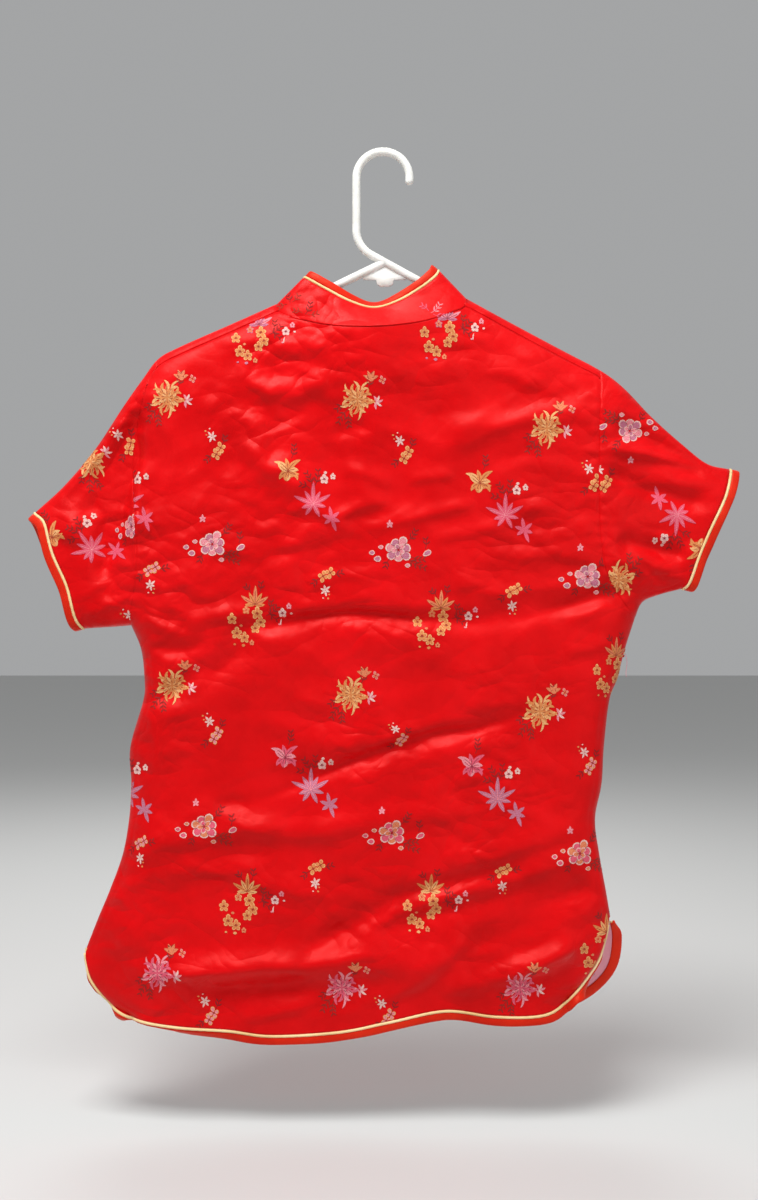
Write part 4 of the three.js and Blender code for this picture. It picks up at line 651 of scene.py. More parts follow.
def underlap_grid():
    """The same for the underlap, which lies deeper away from the armhole and the shoulder's fold."""
    arm = shifted(ARMHOLE["right"], -HALF)
    seam = shifted(TOP["right"], dz=SHOULDER_WRAP - SHOULDER_GAP)
    neck = neck_over_fold(NECK_UNDERLAP[::-1], TOP["right"])
    between = seam[(seam[:, 0] < arm[0, 0] - 1) & (seam[:, 0] > neck[0, 0] + 1)]
    shoulder = np.vstack([neck[:1], between, [(arm[0, 0], height_at(seam, arm[0, 0]))]])
    path = np.vstack([neck[::-1], shoulder[1:]])
    total, after = lengths(path)[-1], lengths(shoulder)[-1]
    lower = shifted(track(OPENING, 60), dz=-OVERLAP)
    lower = lower[lower[:, 0] < 210]
    side = side_up("right")
    side = side[side[:, 1] > lower[-1, 1] + 4]
    upper = np.vstack([side[-1:], arm[1:][::-1], path[-1:]])
    edges = (whole(np.vstack([lower, side[:1]])), whole(path), whole(np.vstack([lower[:1], path[:1]])),
             staged([(side, UNDERLAP_SIDE_MARK), (upper, 1)]))
    neck_us = 1 - ((after + neck_stops(neck)) / total)[::-1]
    us = np.concatenate([neck_us, eased_to((total - after) / total, 1, UNDERLAP_SHOULDER)])
    on_shoulder = us >= (total - after) / total - 1e-9
    grid = turned_patch(edges, us, UNDERLAP_ROWS, TOP["right"], on_shoulder)
    neck_range = (0, len(neck_us))
    normals = panel_normals(grid, neck_range, 1)
    inset = np.where(grid[..., 1] < 0, 0, underlap_inset(grid[..., 0], grid[..., 2]))
    return grid - inset[..., None] * normals, neck_range


def grid_normals(grid, ring=False):
    """Normals from the neighbours of each point."""
    padded = np.concatenate([grid[:1], grid, grid[-1:]], axis=0)
    up = padded[2:] - padded[:-2]
    if ring:
        across = np.roll(grid, -1, axis=1) - np.roll(grid, 1, axis=1)
    else:
        wide = np.concatenate([grid[:, :1], grid, grid[:, -1:]], axis=1)
        across = wide[:, 2:] - wide[:, :-2]
    return unit(np.cross(across, up))


def panel_normals(grid, neck, side):
    """Normals that point out of the garment, level where its faces meet and at the neck edge."""
    normals = grid_normals(grid)
    y = grid[..., 1]
    open_face = np.abs(y) > HALF + 1e-6
    flip = (open_face & (normals[..., 1] * y < 0)) | (~open_face & (normals[..., 1] * side < 0))
    normals[flip] *= -1
    for j, inner in ((0, 1), (grid.shape[1] - 1, grid.shape[1] - 2)):
        folded = ~open_face[:, j]
        level = normals[folded, j] * (1, 0, 1)
        inwards = (grid[folded, inner] - grid[folded, j]) * (1, 0, 1)
        level = unit(level)
        level[(level * inwards).sum(1) > 0] *= -1
        normals[folded, j] = level
    for j in range(neck[0], neck[1] + 1):
        n, p = unit(normals[-1, j] * (1, 1, 0)), grid[-1, j]
        if n[0] * (p[0] - NECK_BULGE["x"]) + 4 * n[1] * p[1] < 0:
            n = -n
        normals[-1, j] = n
    return normals


# ---------------- sleeves and collar
def sleeve_grid(back_edge, front_edge, side):
    """The first ring follows the armhole edges of its panels; the others run on to the cuff."""
    outwards = -1 if side == "left" else 1
    fold_row = len(front_edge) - 1 - FOLD_ROW
    first = np.vstack([front_edge[fold_row:-1], back_edge[::-1], front_edge[1:fold_row]])
    underarm = len(front_edge) - 1 - fold_row + len(back_edge) - 1
    plan = first[:, [0, 2]]
    arm_back = plan[: underarm + 1]
    arm_front = np.vstack([plan[underarm:], plan[:1]])[::-1]
    cuff = track(CUFF_ROWS[side], 60)
    top = TOP[side][(TOP[side][:, 0] - arm_back[0, 0]) * outwards > 2]
    under = np.vstack([arm_back[-1:], UNDER_SLEEVE[side][1:]])
    us = np.linspace(0, 1, SLEEVE_RINGS + 1)

    def half(arm, front):
        edge = np.stack([cuff[:, 0] + (cuff[:, 1] if front else 0), cuff[:, 2]], axis=1)
        shares = lengths(arm) / lengths(arm)[-1]
        edges = (np.vstack([arm[:1], top]), under, arm, edge)
        return patch(*map(whole, edges), us, shares)

    back_plan = half(arm_back, False)
    front_plan = half(arm_front, True)[::-1]
    plan = np.concatenate([back_plan, front_plan[1:-1]], axis=0).transpose(1, 0, 2)
    count = plan.shape[1]
    faces = np.where(np.arange(count) < underarm, -1, 1)
    grid = np.stack([on_face(plan[:, j], faces[j]) for j in range(count)], axis=1)
    grid[:, [0, underarm], 1] = 0
    grid[0] = first
    grid[0, [0, underarm], 1] = 0
    normals = grid_normals(grid, ring=True)
    centre = grid[-1].mean(axis=0)
    if (normals[-1, 5] * (grid[-1, 5] - centre)).sum() < 0:
        normals = -normals
    return grid, normals


def collar_grid(neck_right, neck_back, neck_left):
    """The collar's grid stands on the neck edge and ends at its own outline above."""
    base = np.vstack([
        neck_right[1:-1], (neck_right[-1:] + neck_back[:1]) / 2, neck_back[1:-1],
        (neck_back[-1:] + neck_left[:1]) / 2, neck_left[1:-1]])
    along = lengths(base)
    total = along[-1]
    top = at_shares(track(COLLAR_TOP[::-1], 320), along / total)
    tangent = tangents(base)
    way = top - base
    reach = np.linalg.norm(way, axis=1) - COLLAR_START
    lean = (way * tangent).sum(1)
    start = base + unit(way - tangent * lean[:, None]) * COLLAR_START
    s = np.minimum(np.minimum(along, total - along), COLLAR_CORNER) / COLLAR_CORNER
    v = np.linspace(0, 1, COLLAR_ROWS + 1)[:, None, None]

    def rows_to(corner):
        length = reach - corner * (1 - np.sqrt(1 - (1 - s) ** 2))
        return start[None] + unit(way)[None] * length[None, :, None] * v

    normals = grid_normals(rows_to(0))
    if normals[2, len(base) // 2, 1] > 0:
        normals = -normals
    normals[0] = unit(normals[0] * (1, 1, 0))
    return rows_to(COLLAR_CORNER), normals


# ---------------- mesh making
def linked(name, data):
    obj = bpy.data.objects.new(name, data)
    bpy.context.scene.collection.objects.link(obj)
    return obj


def to_object(name, points, faces, materials, uv, face_slots=None, colours=None):
    """An object from points in mm, faces, and per-point uv (mm) and colours."""
    mesh = bpy.data.meshes.new(name)
    mesh.from_pydata((np.asarray(points) / 1000).tolist(), [], [tuple(map(int, f)) for f in faces])
    for material in materials:
        mesh.materials.append(material)
    if face_slots is not None:
        mesh.polygons.foreach_set("material_index", np.asarray(face_slots, np.int32))
    mesh.polygons.foreach_set("use_smooth", np.ones(len(mesh.polygons), bool))
    corners = np.zeros(len(mesh.loops), np.int32)
    mesh.loops.foreach_get("vertex_index", corners)
    layer = mesh.uv_layers.new(name="cloth")
    layer.data.foreach_set("uv", np.asarray(uv, np.float32)[corners].ravel())
    if colours is not None:
        layer = mesh.color_attributes.new("thread", "FLOAT_COLOR", "POINT")
        rgba = np.concatenate([colours, np.ones((len(colours), 1))], axis=1).astype(np.float32)
        layer.data.foreach_set("color", rgba.ravel())
    mesh.validate()
    mesh.update()
    return linked(name, mesh)


def grid_uv(grid):
    """Cloth coordinates in mm: lengths along the rows and the columns."""
    across = np.linalg.norm(np.diff(grid, axis=1), axis=2)
    up = np.linalg.norm(np.diff(grid, axis=0), axis=2)
    u = np.concatenate([np.zeros((len(grid), 1)), np.cumsum(across, axis=1)], axis=1)
    v = np.concatenate([np.zeros((1, grid.shape[1])), np.cumsum(up, axis=0)], axis=0)
    middle = grid.shape[1] // 2
    return np.stack([u - u[:, middle : middle + 1], v - v[-1:]], axis=-1)


def quads(index):
    """The faces of a grid of point numbers."""
    return np.stack([index[:-1, :-1], index[:-1, 1:], index[1:, 1:], index[1:, :-1]], axis=-1).reshape(-1, 4)


def wall(grid, normals, thickness, ring=False):
    """Points, faces and uv of a wall of cloth; its outer faces come first, then the inner, then the rim."""
    rows, columns = grid.shape[:2]
    outer, inner = grid.reshape(-1, 3), (grid - normals * thickness).reshape(-1, 3)
    index = np.arange(rows * columns).reshape(rows, columns)
    if ring:
        index = np.concatenate([index, index[:, :1]], axis=1)
    outside = quads(index)
    back = len(outer)
    edges = [index[0], index[-1][::-1]]
    if not ring:
        edges += [index[:, 0][::-1], index[:, -1]]
    rims = [np.stack([e[1:], e[:-1], e[:-1] + back, e[1:] + back], axis=-1) for e in edges]
    faces = np.vstack([outside, outside[:, ::-1] + back, *rims])
    points = np.vstack([outer, inner])
    p = points[faces]
    volume = (p[:, 0] * np.cross(p[:, 1], p[:, 2])).sum() + (p[:, 0] * np.cross(p[:, 2], p[:, 3])).sum()
    if volume < 0:
        faces = faces[:, ::-1]
    uv = grid_uv(grid).reshape(-1, 2)
    return points, faces, np.vstack([uv, uv]), len(outside)


def dressed(obj, node=None):
    """A piece that rides on the root, and in the place of a CAD node where it has one."""
    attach(obj, "root")
    if node:
        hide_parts(node)


TREES = {}


def cloth_piece(name, grid, normals, thickness, materials, facing=None, ring=False):
    """A cloth wall with its face, its lining, and a facing where the inner faces lie near the edges."""
    points, faces, uv, count = wall(grid, normals, thickness, ring)
    slots = np.zeros(len(faces), int)
    slots[count : 2 * count] = 1
    if facing is not None:
        slots[count : 2 * count][facing.reshape(-1)] = 2
    TREES[name] = BVHTree.FromPolygons(points.tolist(), faces[:count].tolist())
    return to_object(name, points, faces, materials, uv, slots)


def on_cloth(name, x, z, side):
    """Where rays from outside meet a cloth: points, normals, and which rays met it."""
    tree, start, way = TREES[name], side * 200, Vector((0, -side, 0))
    points, normals = np.zeros((len(x), 3)), np.zeros((len(x), 3))
    met = np.zeros(len(x), bool)
    for k, (px, pz) in enumerate(zip(x.tolist(), z.tolist())):
        place, normal, _, _ = tree.ray_cast(Vector((px, start, pz)), way)
        if place is not None and place.y * side > -0.5:
            points[k], met[k] = place, True
            normals[k] = normal if normal.y * side > 0 else -normal
    return points, normals, met


def bar(sections, closed=False):
    """Points and faces of a bar from a list of rings of points."""
    rings, sides = sections.shape[:2]
    index = np.arange(rings * sides).reshape(rings, sides)
    following = np.roll(index, -1, axis=0) if closed else index[1:]
    index = index if closed else index[:-1]
    faces = np.stack([index, np.roll(index, -1, 1), np.roll(following, -1, 1), following], axis=-1)
    faces = faces.reshape(-1, 4).tolist()
    points = sections.reshape(-1, 3)
    if not closed:
        ends = len(points)
        points = np.vstack([points, sections[0].mean(0), sections[-1].mean(0)])
        last = (rings - 1) * sides
        for j in range(sides):
            k = (j + 1) % sides
            faces += [[k, j, ends], [last + j, last + k, ends + 1]]
    p = np.array([[points[f[0]], points[f[1]], points[f[2]]] for f in faces])
    if (p[:, 0] * np.cross(p[:, 1], p[:, 2])).sum() < 0:
        faces = [f[::-1] for f in faces]
    return points, faces


def section_uv(sections):
    around = np.linalg.norm(np.diff(sections[0], axis=0, append=sections[0][:1]), axis=1)
    u = np.concatenate([[0], np.cumsum(around)[:-1]])
    v = lengths(sections.mean(axis=1))
    uv = np.stack(np.broadcast_arrays(u[None, :], v[:, None]), axis=-1).reshape(-1, 2)
    return np.vstack([uv, uv[:1], uv[-1:]])


# ---------------- trims
def edge_frames(points, normals, insides, closed=False):
    """The points of an edge, the way out of the cloth there, and the way up from its face."""
    if closed:
        along = unit(np.roll(points, -1, 0) - np.roll(points, 1, 0))
    else:
        along = tangents(points)
    out = unit(np.cross(along, normals))
    flip = (out * (points - insides)).sum(1) < 0
    out[flip] *= -1
    level = unit(normals - along * (normals * along).sum(1)[:, None])
    return points, out, level


def resampled(steps, spacing, closed=False):
    """Edge steps at an even spacing, so that trims bend smoothly."""
    points = np.vstack([steps[0], steps[0][:1]]) if closed else steps[0]
    along = lengths(points)
    count = max(8, int(along[-1] / spacing))
    wanted = np.linspace(0, along[-1], count + 1)
    wanted = wanted[:-1] if closed else wanted
    made = []
    for part in steps:
        part = np.vstack([part, part[:1]]) if closed else part
        made.append(np.stack([np.interp(wanted, along, part[:, k]) for k in range(3)], axis=1))
    return made


def relaxed(values, times, closed=False):
    """Values smoothed with their neighbours along an edge."""
    for _ in range(times):
        if closed:
            values = (np.roll(values, 1, 0) + 2 * values + np.roll(values, -1, 0)) / 4
        else:
            inner = (values[:-2] + 2 * values[1:-1] + values[2:]) / 4
            values = np.vstack([values[:1], inner, values[-1:]])
    return values


def piping_sections(frames, thickness):
    points, out, level = frames
    angle = ring_angles(PIPING_SIDES)
    along = lengths(points)[:, None, None]
    radius = PIPING_RADIUS * (1 + 0.035 * np.sin(0.9 * along) + 0.02 * np.sin(2.3 * along + 1))
    centre = points + out * PIPING_AT + level * (PIPING_UP - thickness / 2)
    return centre[:, None] + out[:, None] * radius * np.cos(angle) + level[:, None] * radius * np.sin(angle)


def binding_sections(frames, thickness, closed=False, roll=None, taper=1.0):
    """A binding folded over the edge: narrow on the face, and past the piping on the inside."""
    points, out, level = frames
    along = lengths(points)
    degrees = np.zeros(len(points)) if roll is None else roll(points)
    turn = np.radians(degrees)[:, None, None]
    from_end = np.minimum(along, along[-1] - along)
    share = np.ones(len(points)) if closed else taper + (1 - taper) * smooth(from_end / TAPER_LENGTH)
    share = share * (1 + 0.03 * np.sin(0.11 * along + 0.7 * np.sin(0.043 * along)))
    reach, up = np.array(BINDING_SECTION).T
    reach = reach[None, :] - BINDING_AT
    inwards = np.clip(1 - degrees / 40, 0, 1)[:, None]
    reach = np.where(reach > 0, reach * share[:, None], reach * inwards)[..., None]
    pucker = 1 + 0.09 * np.sin(0.55 * along)[:, None] * np.sin(np.arange(len(up)) * 1.2)[None]
    up = (up[None] * pucker)[..., None]
    pivot = (points + out * BINDING_AT - level * thickness / 2)[:, None]
    pivot = pivot + out[:, None] * np.sin(turn) * BINDING_TURN
    out, level = out[:, None], level[:, None]
    return (pivot + (out * np.cos(turn) - level * np.sin(turn)) * reach
            + (level * np.cos(turn) + out * np.sin(turn)) * up)


def curl(points):
    rows = np.array(CURL, float)
    return np.interp(points[:, 0], rows[:, 0], rows[:, 1])


def add_trim(name, steps, thickness, closed=False, roll=None, taper=1.0, smoothing=6):
    steps = resampled(steps, TRIM_STEP, closed)
    steps[1] = unit(relaxed(steps[1], smoothing, closed))
    frames = edge_frames(*steps, closed)
    frames = (frames[0], unit(relaxed(frames[1], smoothing, closed)), frames[2])
    made = []
    for part, sections, material in (
        ("piping", piping_sections(frames, thickness), PIPING_SATIN),
        ("binding", binding_sections(frames, thickness, closed, roll, taper), BINDING_SATIN),
    ):
        points, faces = bar(sections, closed)
        uv = section_uv(sections)[: len(points)]
        obj = to_object(f"{name}_{part}_cloth", points, faces, [material], uv)
        dressed(obj, f"{name}_{part}")
        made.append(obj)
    return made


# ---------------- materials
def srgb(r, g, b):
    c = np.array([r, g, b]) / 255
    return tuple(np.where(c <= 0.04045, c / 12.92, ((c + 0.055) / 1.055) ** 2.4)) + (1.0,)


def grey(value):
    return (value,) * 3 + (1,)


class Nodes:
    """A material's node tree, built by short calls."""

    def __init__(self, name):
        self.material = bpy.data.materials.new(name)
        self.material.use_nodes = True
        self.tree = self.material.node_tree
        self.shader = self.tree.nodes["Principled BSDF"]

    def add(self, kind, inputs=(), **settings):
        node = self.tree.nodes.new(kind)
        for key, value in settings.items():
            setattr(node, key, value)
        for key, value in dict(inputs).items():
            self.feed(node, key, value)
        return node

    def feed(self, node, key, value):
        if isinstance(value, bpy.types.NodeSocket):
            self.tree.links.new(value, node.inputs[key])
        else:
            node.inputs[key].default_value = value

    def set(self, **values):
        for key, value in values.items():
            self.feed(self.shader, key.replace("_", " "), value)

    def cloth_uv(self, scale):
        uv = self.add("ShaderNodeUVMap", uv_map="cloth").outputs[0]
        return self.add("ShaderNodeMapping", {"Vector": uv, "Scale": scale}).outputs[0]

    def space(self, scale=(1, 1, 1), degrees=0):
        place = self.add("ShaderNodeTexCoord").outputs["Object"]
        turn = {"Vector": place, "Rotation": (0, math.radians(degrees), 0)}
        turned = self.add("ShaderNodeMapping", turn).outputs[0]
        return self.add("ShaderNodeMapping", {"Vector": turned, "Scale": scale}).outputs[0]

    def noise(self, vector, scale, detail=3.0, roughness=0.5):
        values = {"Vector": vector, "Scale": scale, "Detail": detail, "Roughness": roughness}
        return self.add("ShaderNodeTexNoise", values).outputs[0]

    def ramp(self, value, stops):
        node = self.add("ShaderNodeValToRGB", {"Fac": value})
        elements = node.color_ramp.elements
        while len(elements) < len(stops):
            elements.new(0.5)
        for element, (at, colour) in zip(elements, stops):
            element.position = at
            element.color = colour
        return node.outputs[0]

    def math(self, operation, *values):
        node = self.add("ShaderNodeMath", operation=operation)
        for k, value in enumerate(values):
            self.feed(node, k, value)
        return node.outputs[0]

    def mix(self, kind, factor, a, b):
        node = self.add("ShaderNodeMix", data_type="RGBA", blend_type=kind)
        self.feed(node, 0, factor)
        self.feed(node, 6, a)
        self.feed(node, 7, b)
        return node.outputs[2]

    def bump(self, height, strength, distance, normal=None):
        values = {"Height": height, "Strength": strength, "Distance": distance}
        if normal is not None:
            values["Normal"] = normal
        return self.add("ShaderNodeBump", values).outputs[0]


WEAVE_STRENGTH = 0.35
FINE_CREASES = [  # cells per metre along, through and across; degrees; height in m; sharpness
    ((15, 9, 34), 12, 0.0022, 4.5), ((20, 9, 44), -28, 0.0014, 5.0), ((40, 20, 62), 50, 0.0006, 5.0),
]


def creased(n):
    """Small sharp creases, more in some places than in others."""
    patchy = n.ramp(n.noise(n.space((7, 7, 8)), 1.0, 1.0), [(0.36, grey(0.12)), (0.62, grey(1))])
    normal = None
    for scale, degrees, height, sharpness in FINE_CREASES:
        sheet = n.noise(n.space(scale, degrees), 1.0, 1.5, 0.4)
        line = n.math("MULTIPLY", n.math("ABSOLUTE", n.math("SUBTRACT", sheet, 0.5)), sharpness)
        share = n.math("MULTIPLY", n.math("SMOOTH_MIN", line, 1.0, 0.3), patchy)
        normal = n.bump(share, 1.0, height, normal)
    return normal


def weave(n, fine, coarse, folded=None):
    """A satin face: long floats across, crossed by finer threads."""
    floats = n.noise(n.cloth_uv((0.5, 7.0, 1)), 1.0, 2.0)
    ends = n.add("ShaderNodeTexWave", {
        "Vector": n.cloth_uv((1.0, 1.0, 1)), "Scale": fine, "Distortion": 1.2, "Detail": 1.0,
    }, wave_type="BANDS", bands_direction="DIAGONAL").outputs[1]
    height = n.math("ADD", n.math("MULTIPLY", floats, 0.6), n.math("MULTIPLY", ends, 0.4))
    rumple = n.bump(n.noise(n.space((60, 60, 60)), coarse, 4.0), 0.22, 0.0016, folded)
    return n.bump(height, WEAVE_STRENGTH, 0.00012, rumple), floats


def satin(name, base, light, dark, roughness, sheen, fine=1.1, coarse=1.0, sheen_tint=None, creases=False):
    """A satin's material: three colours, how rough and how velvety it is, and the scales of its weave."""
    n = Nodes(name)
    tint = srgb(*(sheen_tint or light))
    normal, floats = weave(n, fine, coarse, creased(n) if creases else None)
    cloud = n.noise(n.space((18, 18, 18)), 1.0, 5.0, 0.6)
    colour = n.ramp(cloud, [(0.30, srgb(*dark)), (0.52, srgb(*base)), (0.75, srgb(*light))])
    streak = n.ramp(floats, [(0.3, grey(0.93)), (0.7, grey(1))])
    n.set(Base_Color=n.mix("MULTIPLY", 1.0, colour, streak), Normal=normal)
    worn = n.noise(n.space((90, 90, 90)), 1.0, 3.0)
    n.set(Roughness=n.ramp(worn, [(0.3, grey(roughness - 0.04)), (0.7, grey(roughness + 0.06))]))
    n.set(Sheen_Weight=sheen, Sheen_Roughness=0.45, Sheen_Tint=tint)
    n.set(Specular_IOR_Level=0.45, Anisotropic=0.35, Specular_Tint=tint)
    n.set(Tangent=n.add("ShaderNodeTangent", direction_type="RADIAL", axis="Y").outputs[0])
    return n.material


BROCADE = satin("brocade_satin", (216, 7, 13), (226, 10, 18), (202, 5, 10), 0.37, 0.05,
                sheen_tint=(255, 120, 115), creases=True)
BINDING_SATIN = satin("binding_satin", (214, 34, 16), (226, 46, 24), (198, 24, 12), 0.42, 0.3,
                      sheen_tint=(255, 150, 110))
FACING = satin("facing_satin", (205, 26, 20), (216, 36, 28), (190, 18, 14), 0.5, 0.2)
LINING = satin("lining_cloth", (232, 152, 168), (240, 172, 184), (220, 134, 152), 0.5, 0.25, fine=1.6)
PIPING_SATIN = satin("piping_satin", (244, 214, 158), (252, 230, 184), (226, 188, 128), 0.42, 0.3,
                     fine=2.2, coarse=2.0)
CLOTH_SLOTS = [BROCADE, LINING, FACING]


def thread_material():
    n = Nodes("brocade_threads")
    colour = n.add("ShaderNodeVertexColor", layer_name="thread").outputs[0]
    threads = n.add("ShaderNodeTexWave", {
        "Vector": n.cloth_uv((1, 1, 1)), "Scale": 1.4, "Distortion": 1.5, "Detail": 2.0,
    }, wave_type="BANDS", bands_direction="Y").outputs[1]
    shade = n.ramp(threads, [(0.15, (0.72, 0.66, 0.62, 1)), (0.6, grey(1))])
    specks = n.noise(n.cloth_uv((1, 1, 1)), 1.3, 3.0)
    speck = n.ramp(specks, [(0.38, (0.88, 0.42, 0.36, 1)), (0.52, grey(1))])
    n.set(Base_Color=n.mix("MULTIPLY", 1.0, n.mix("MULTIPLY", 1.0, colour, shade), speck))
    n.set(Normal=n.bump(threads, 0.5, 0.00015), Roughness=0.55, Sheen_Weight=0.1, Sheen_Roughness=0.4)
    n.set(Specular_IOR_Level=0.3)
    return n.material


def plastic_material():
    n = Nodes("hanger_plastic")
    marks = n.noise(n.space((40, 40, 40)), 1.0, 5.0, 0.65)
    n.set(Base_Color=n.ramp(marks, [(0.35, srgb(222, 221, 214)), (0.65, srgb(240, 240, 236))]))
    scuffs = n.noise(n.space((300, 300, 120)), 1.0, 4.0)
    n.set(Roughness=n.ramp(scuffs, [(0.35, grey(0.28)), (0.7, grey(0.42))]))
    n.set(Normal=n.bump(n.noise(n.space((120, 120, 120)), 1.0, 3.0), 0.15, 0.0004))
    n.set(Subsurface_Weight=0.15, Subsurface_Radius=(0.004, 0.004, 0.0035), Subsurface_Scale=1.0)
    n.set(Specular_IOR_Level=0.45, Coat_Weight=0.15, Coat_Roughness=0.25)
    return n.material


THREADS = thread_material()
PLASTIC = plastic_material()


# ---------------- the cloth pieces
def near_edges(grid, width, edges="low high first last"):
    """The cells of a grid that lie within a facing's width of the named edges."""
    uv = grid_uv(grid)
    u, v = uv[:-1, :-1, 0], uv[:-1, :-1, 1]
    inwards = {"low": v - v[:1], "high": v[-1:] - v, "first": u - u[:, :1], "last": u[:, -1:] - u}
    return np.any([inwards[edge] < width for edge in edges.split()], axis=0)


def cuff_facing(grid):
    near = near_edges(grid, CUFF_FACING, "high")
    return np.concatenate([near, near[:, :1]], axis=1)


back, back_neck = back_grid()
front, front_neck = front_grid()
underlap, underlap_neck = underlap_grid()
back_n = panel_normals(back, back_neck, -1)
front_n = panel_normals(front, front_neck, 1)
underlap_n = panel_normals(underlap, underlap_neck, 1)
left_sleeve, left_sleeve_n = sleeve_grid(back[ARM_ROW:, 0], front[ARM_ROW:, 0], "left")
right_sleeve, right_sleeve_n = sleeve_grid(back[ARM_ROW:, -1], underlap[UNDERLAP_SIDE_ROWS:, -1], "right")


def neck_edge(grid, neck):
    return grid[-1, neck[0] : neck[1] + 1]


collar, collar_n = collar_grid(
    neck_edge(underlap, underlap_neck), neck_edge(back, back_neck)[::-1], neck_edge(front, front_neck))

PIECES = {  # grid, normals, thickness, the cells of its facing
    "back": (back, back_n, CLOTH, near_edges(back, FACING_WIDTH, "low high")),
    "front": (front, front_n, CLOTH, near_edges(front, FRONT_FACING)),
    "underlap": (underlap, underlap_n, CLOTH, near_edges(underlap, FACING_WIDTH, "low high first")),
    "left_sleeve": (left_sleeve, left_sleeve_n, CLOTH, cuff_facing(left_sleeve)),
    "right_sleeve": (right_sleeve, right_sleeve_n, CLOTH, cuff_facing(right_sleeve)),
    "collar": (collar, collar_n, COLLAR_CLOTH, None),
}
pieces = {
    name: cloth_piece(f"{name}_cloth", grid, normals, thickness, CLOTH_SLOTS, facing, ring="sleeve" in name)
    for name, (grid, normals, thickness, facing) in PIECES.items()}


# ---------------- trims on their edges
def border_steps(grid, normals, rows, end, inner):
    """Along one side's rows, an end row and the other side's rows: points, normals and inner neighbours."""
    last = grid.shape[1] - 1
    across = np.arange(last + 1)
    index = [(rows, 0, rows, 1), (end, across, inner, np.clip(across, 1, last - 1)),
             (rows[::-1], last, rows[::-1], last - 1)]
    return [np.vstack([grid[i, j] for i, j, _, _ in index]),
            np.vstack([normals[i, j] for i, j, _, _ in index]),
            np.vstack([grid[i, j] for _, _, i, j in index])]


def hem_steps(grid, normals):
    return border_steps(grid, normals, np.arange(SLIT_ROWS - SLIT_TRIM_START, 0, -1), 0, 1)


def collar_steps(grid, normals):
    return border_steps(grid, normals, np.arange(2, grid.shape[0] - 1), -1, 4)


def ring_steps(grid, normals):
    return [grid[-1], normals[-1], grid[-2]]


def opening_steps(grid, normals, neck):
    j = np.arange(neck[1], grid.shape[1] - 1)
    return [grid[-1, j], normals[-1, j], grid[-4, j]]


trims = {
    "collar": add_trim("collar", collar_steps(collar, collar_n), COLLAR_CLOTH, smoothing=2),
    "left_cuff": add_trim("left_cuff", ring_steps(left_sleeve, left_sleeve_n), CLOTH, closed=True),
    "right_cuff": add_trim("right_cuff", ring_steps(right_sleeve, right_sleeve_n), CLOTH, closed=True),
    "back_hem": add_trim("back_hem", hem_steps(back, back_n), CLOTH, roll=curl, taper=0.3),
    "front_hem": add_trim("front_hem", hem_steps(front, front_n), CLOTH, taper=0.3),
    "opening": add_trim("opening", opening_steps(front, front_n, front_neck), CLOTH, taper=0.5),
}


# ---------------- the lining beside the right slit
def lining_grid():
    """A strip inside the front, from the slit's edge inwards."""
    rows = np.linspace(4, SLIT_ROWS + 8, 50).astype(int)
    made = []
    for i in rows:
        x = front[i, -1, 0] - LINING_INSET - np.linspace(0, 1, 33) * LINING_WIDTH
        order = np.argsort(front[i, :, 0])
        place = [np.interp(x, front[i, order, 0], front[i, order, k]) for k in range(3)]
        level = [np.interp(x, front[i, order, 0], front_n[i, order, k]) for k in range(3)]
        ripple = LINING_RIPPLE * np.sin(0.35 * x + 0.2 * place[2])
        made.append(np.stack(place, 1) - unit(np.stack(level, 1)) * (LINING_DROP + ripple[:, None]))
    return np.array(made)


lining = lining_grid()
pieces["lining"] = cloth_piece("lining_cloth", lining, grid_normals(lining), LINING_CLOTH, [LINING] * 3)


# ---------------- woven motifs
def linear(*rgb):
    return np.array(srgb(*rgb)[:3])


TONES = {
    "gold": linear(236, 156, 88), "pale_gold": linear(248, 196, 130), "bronze": linear(178, 70, 34),
    "pink": linear(238, 98, 128), "rose": linear(246, 158, 172), "lilac": linear(206, 128, 158),
    "plum": linear(158, 40, 66), "white": linear(248, 214, 208), "peach": linear(240, 146, 100),
    "brown": linear(150, 12, 14), "rust": linear(176, 44, 24), "olive": linear(152, 30, 18),
}


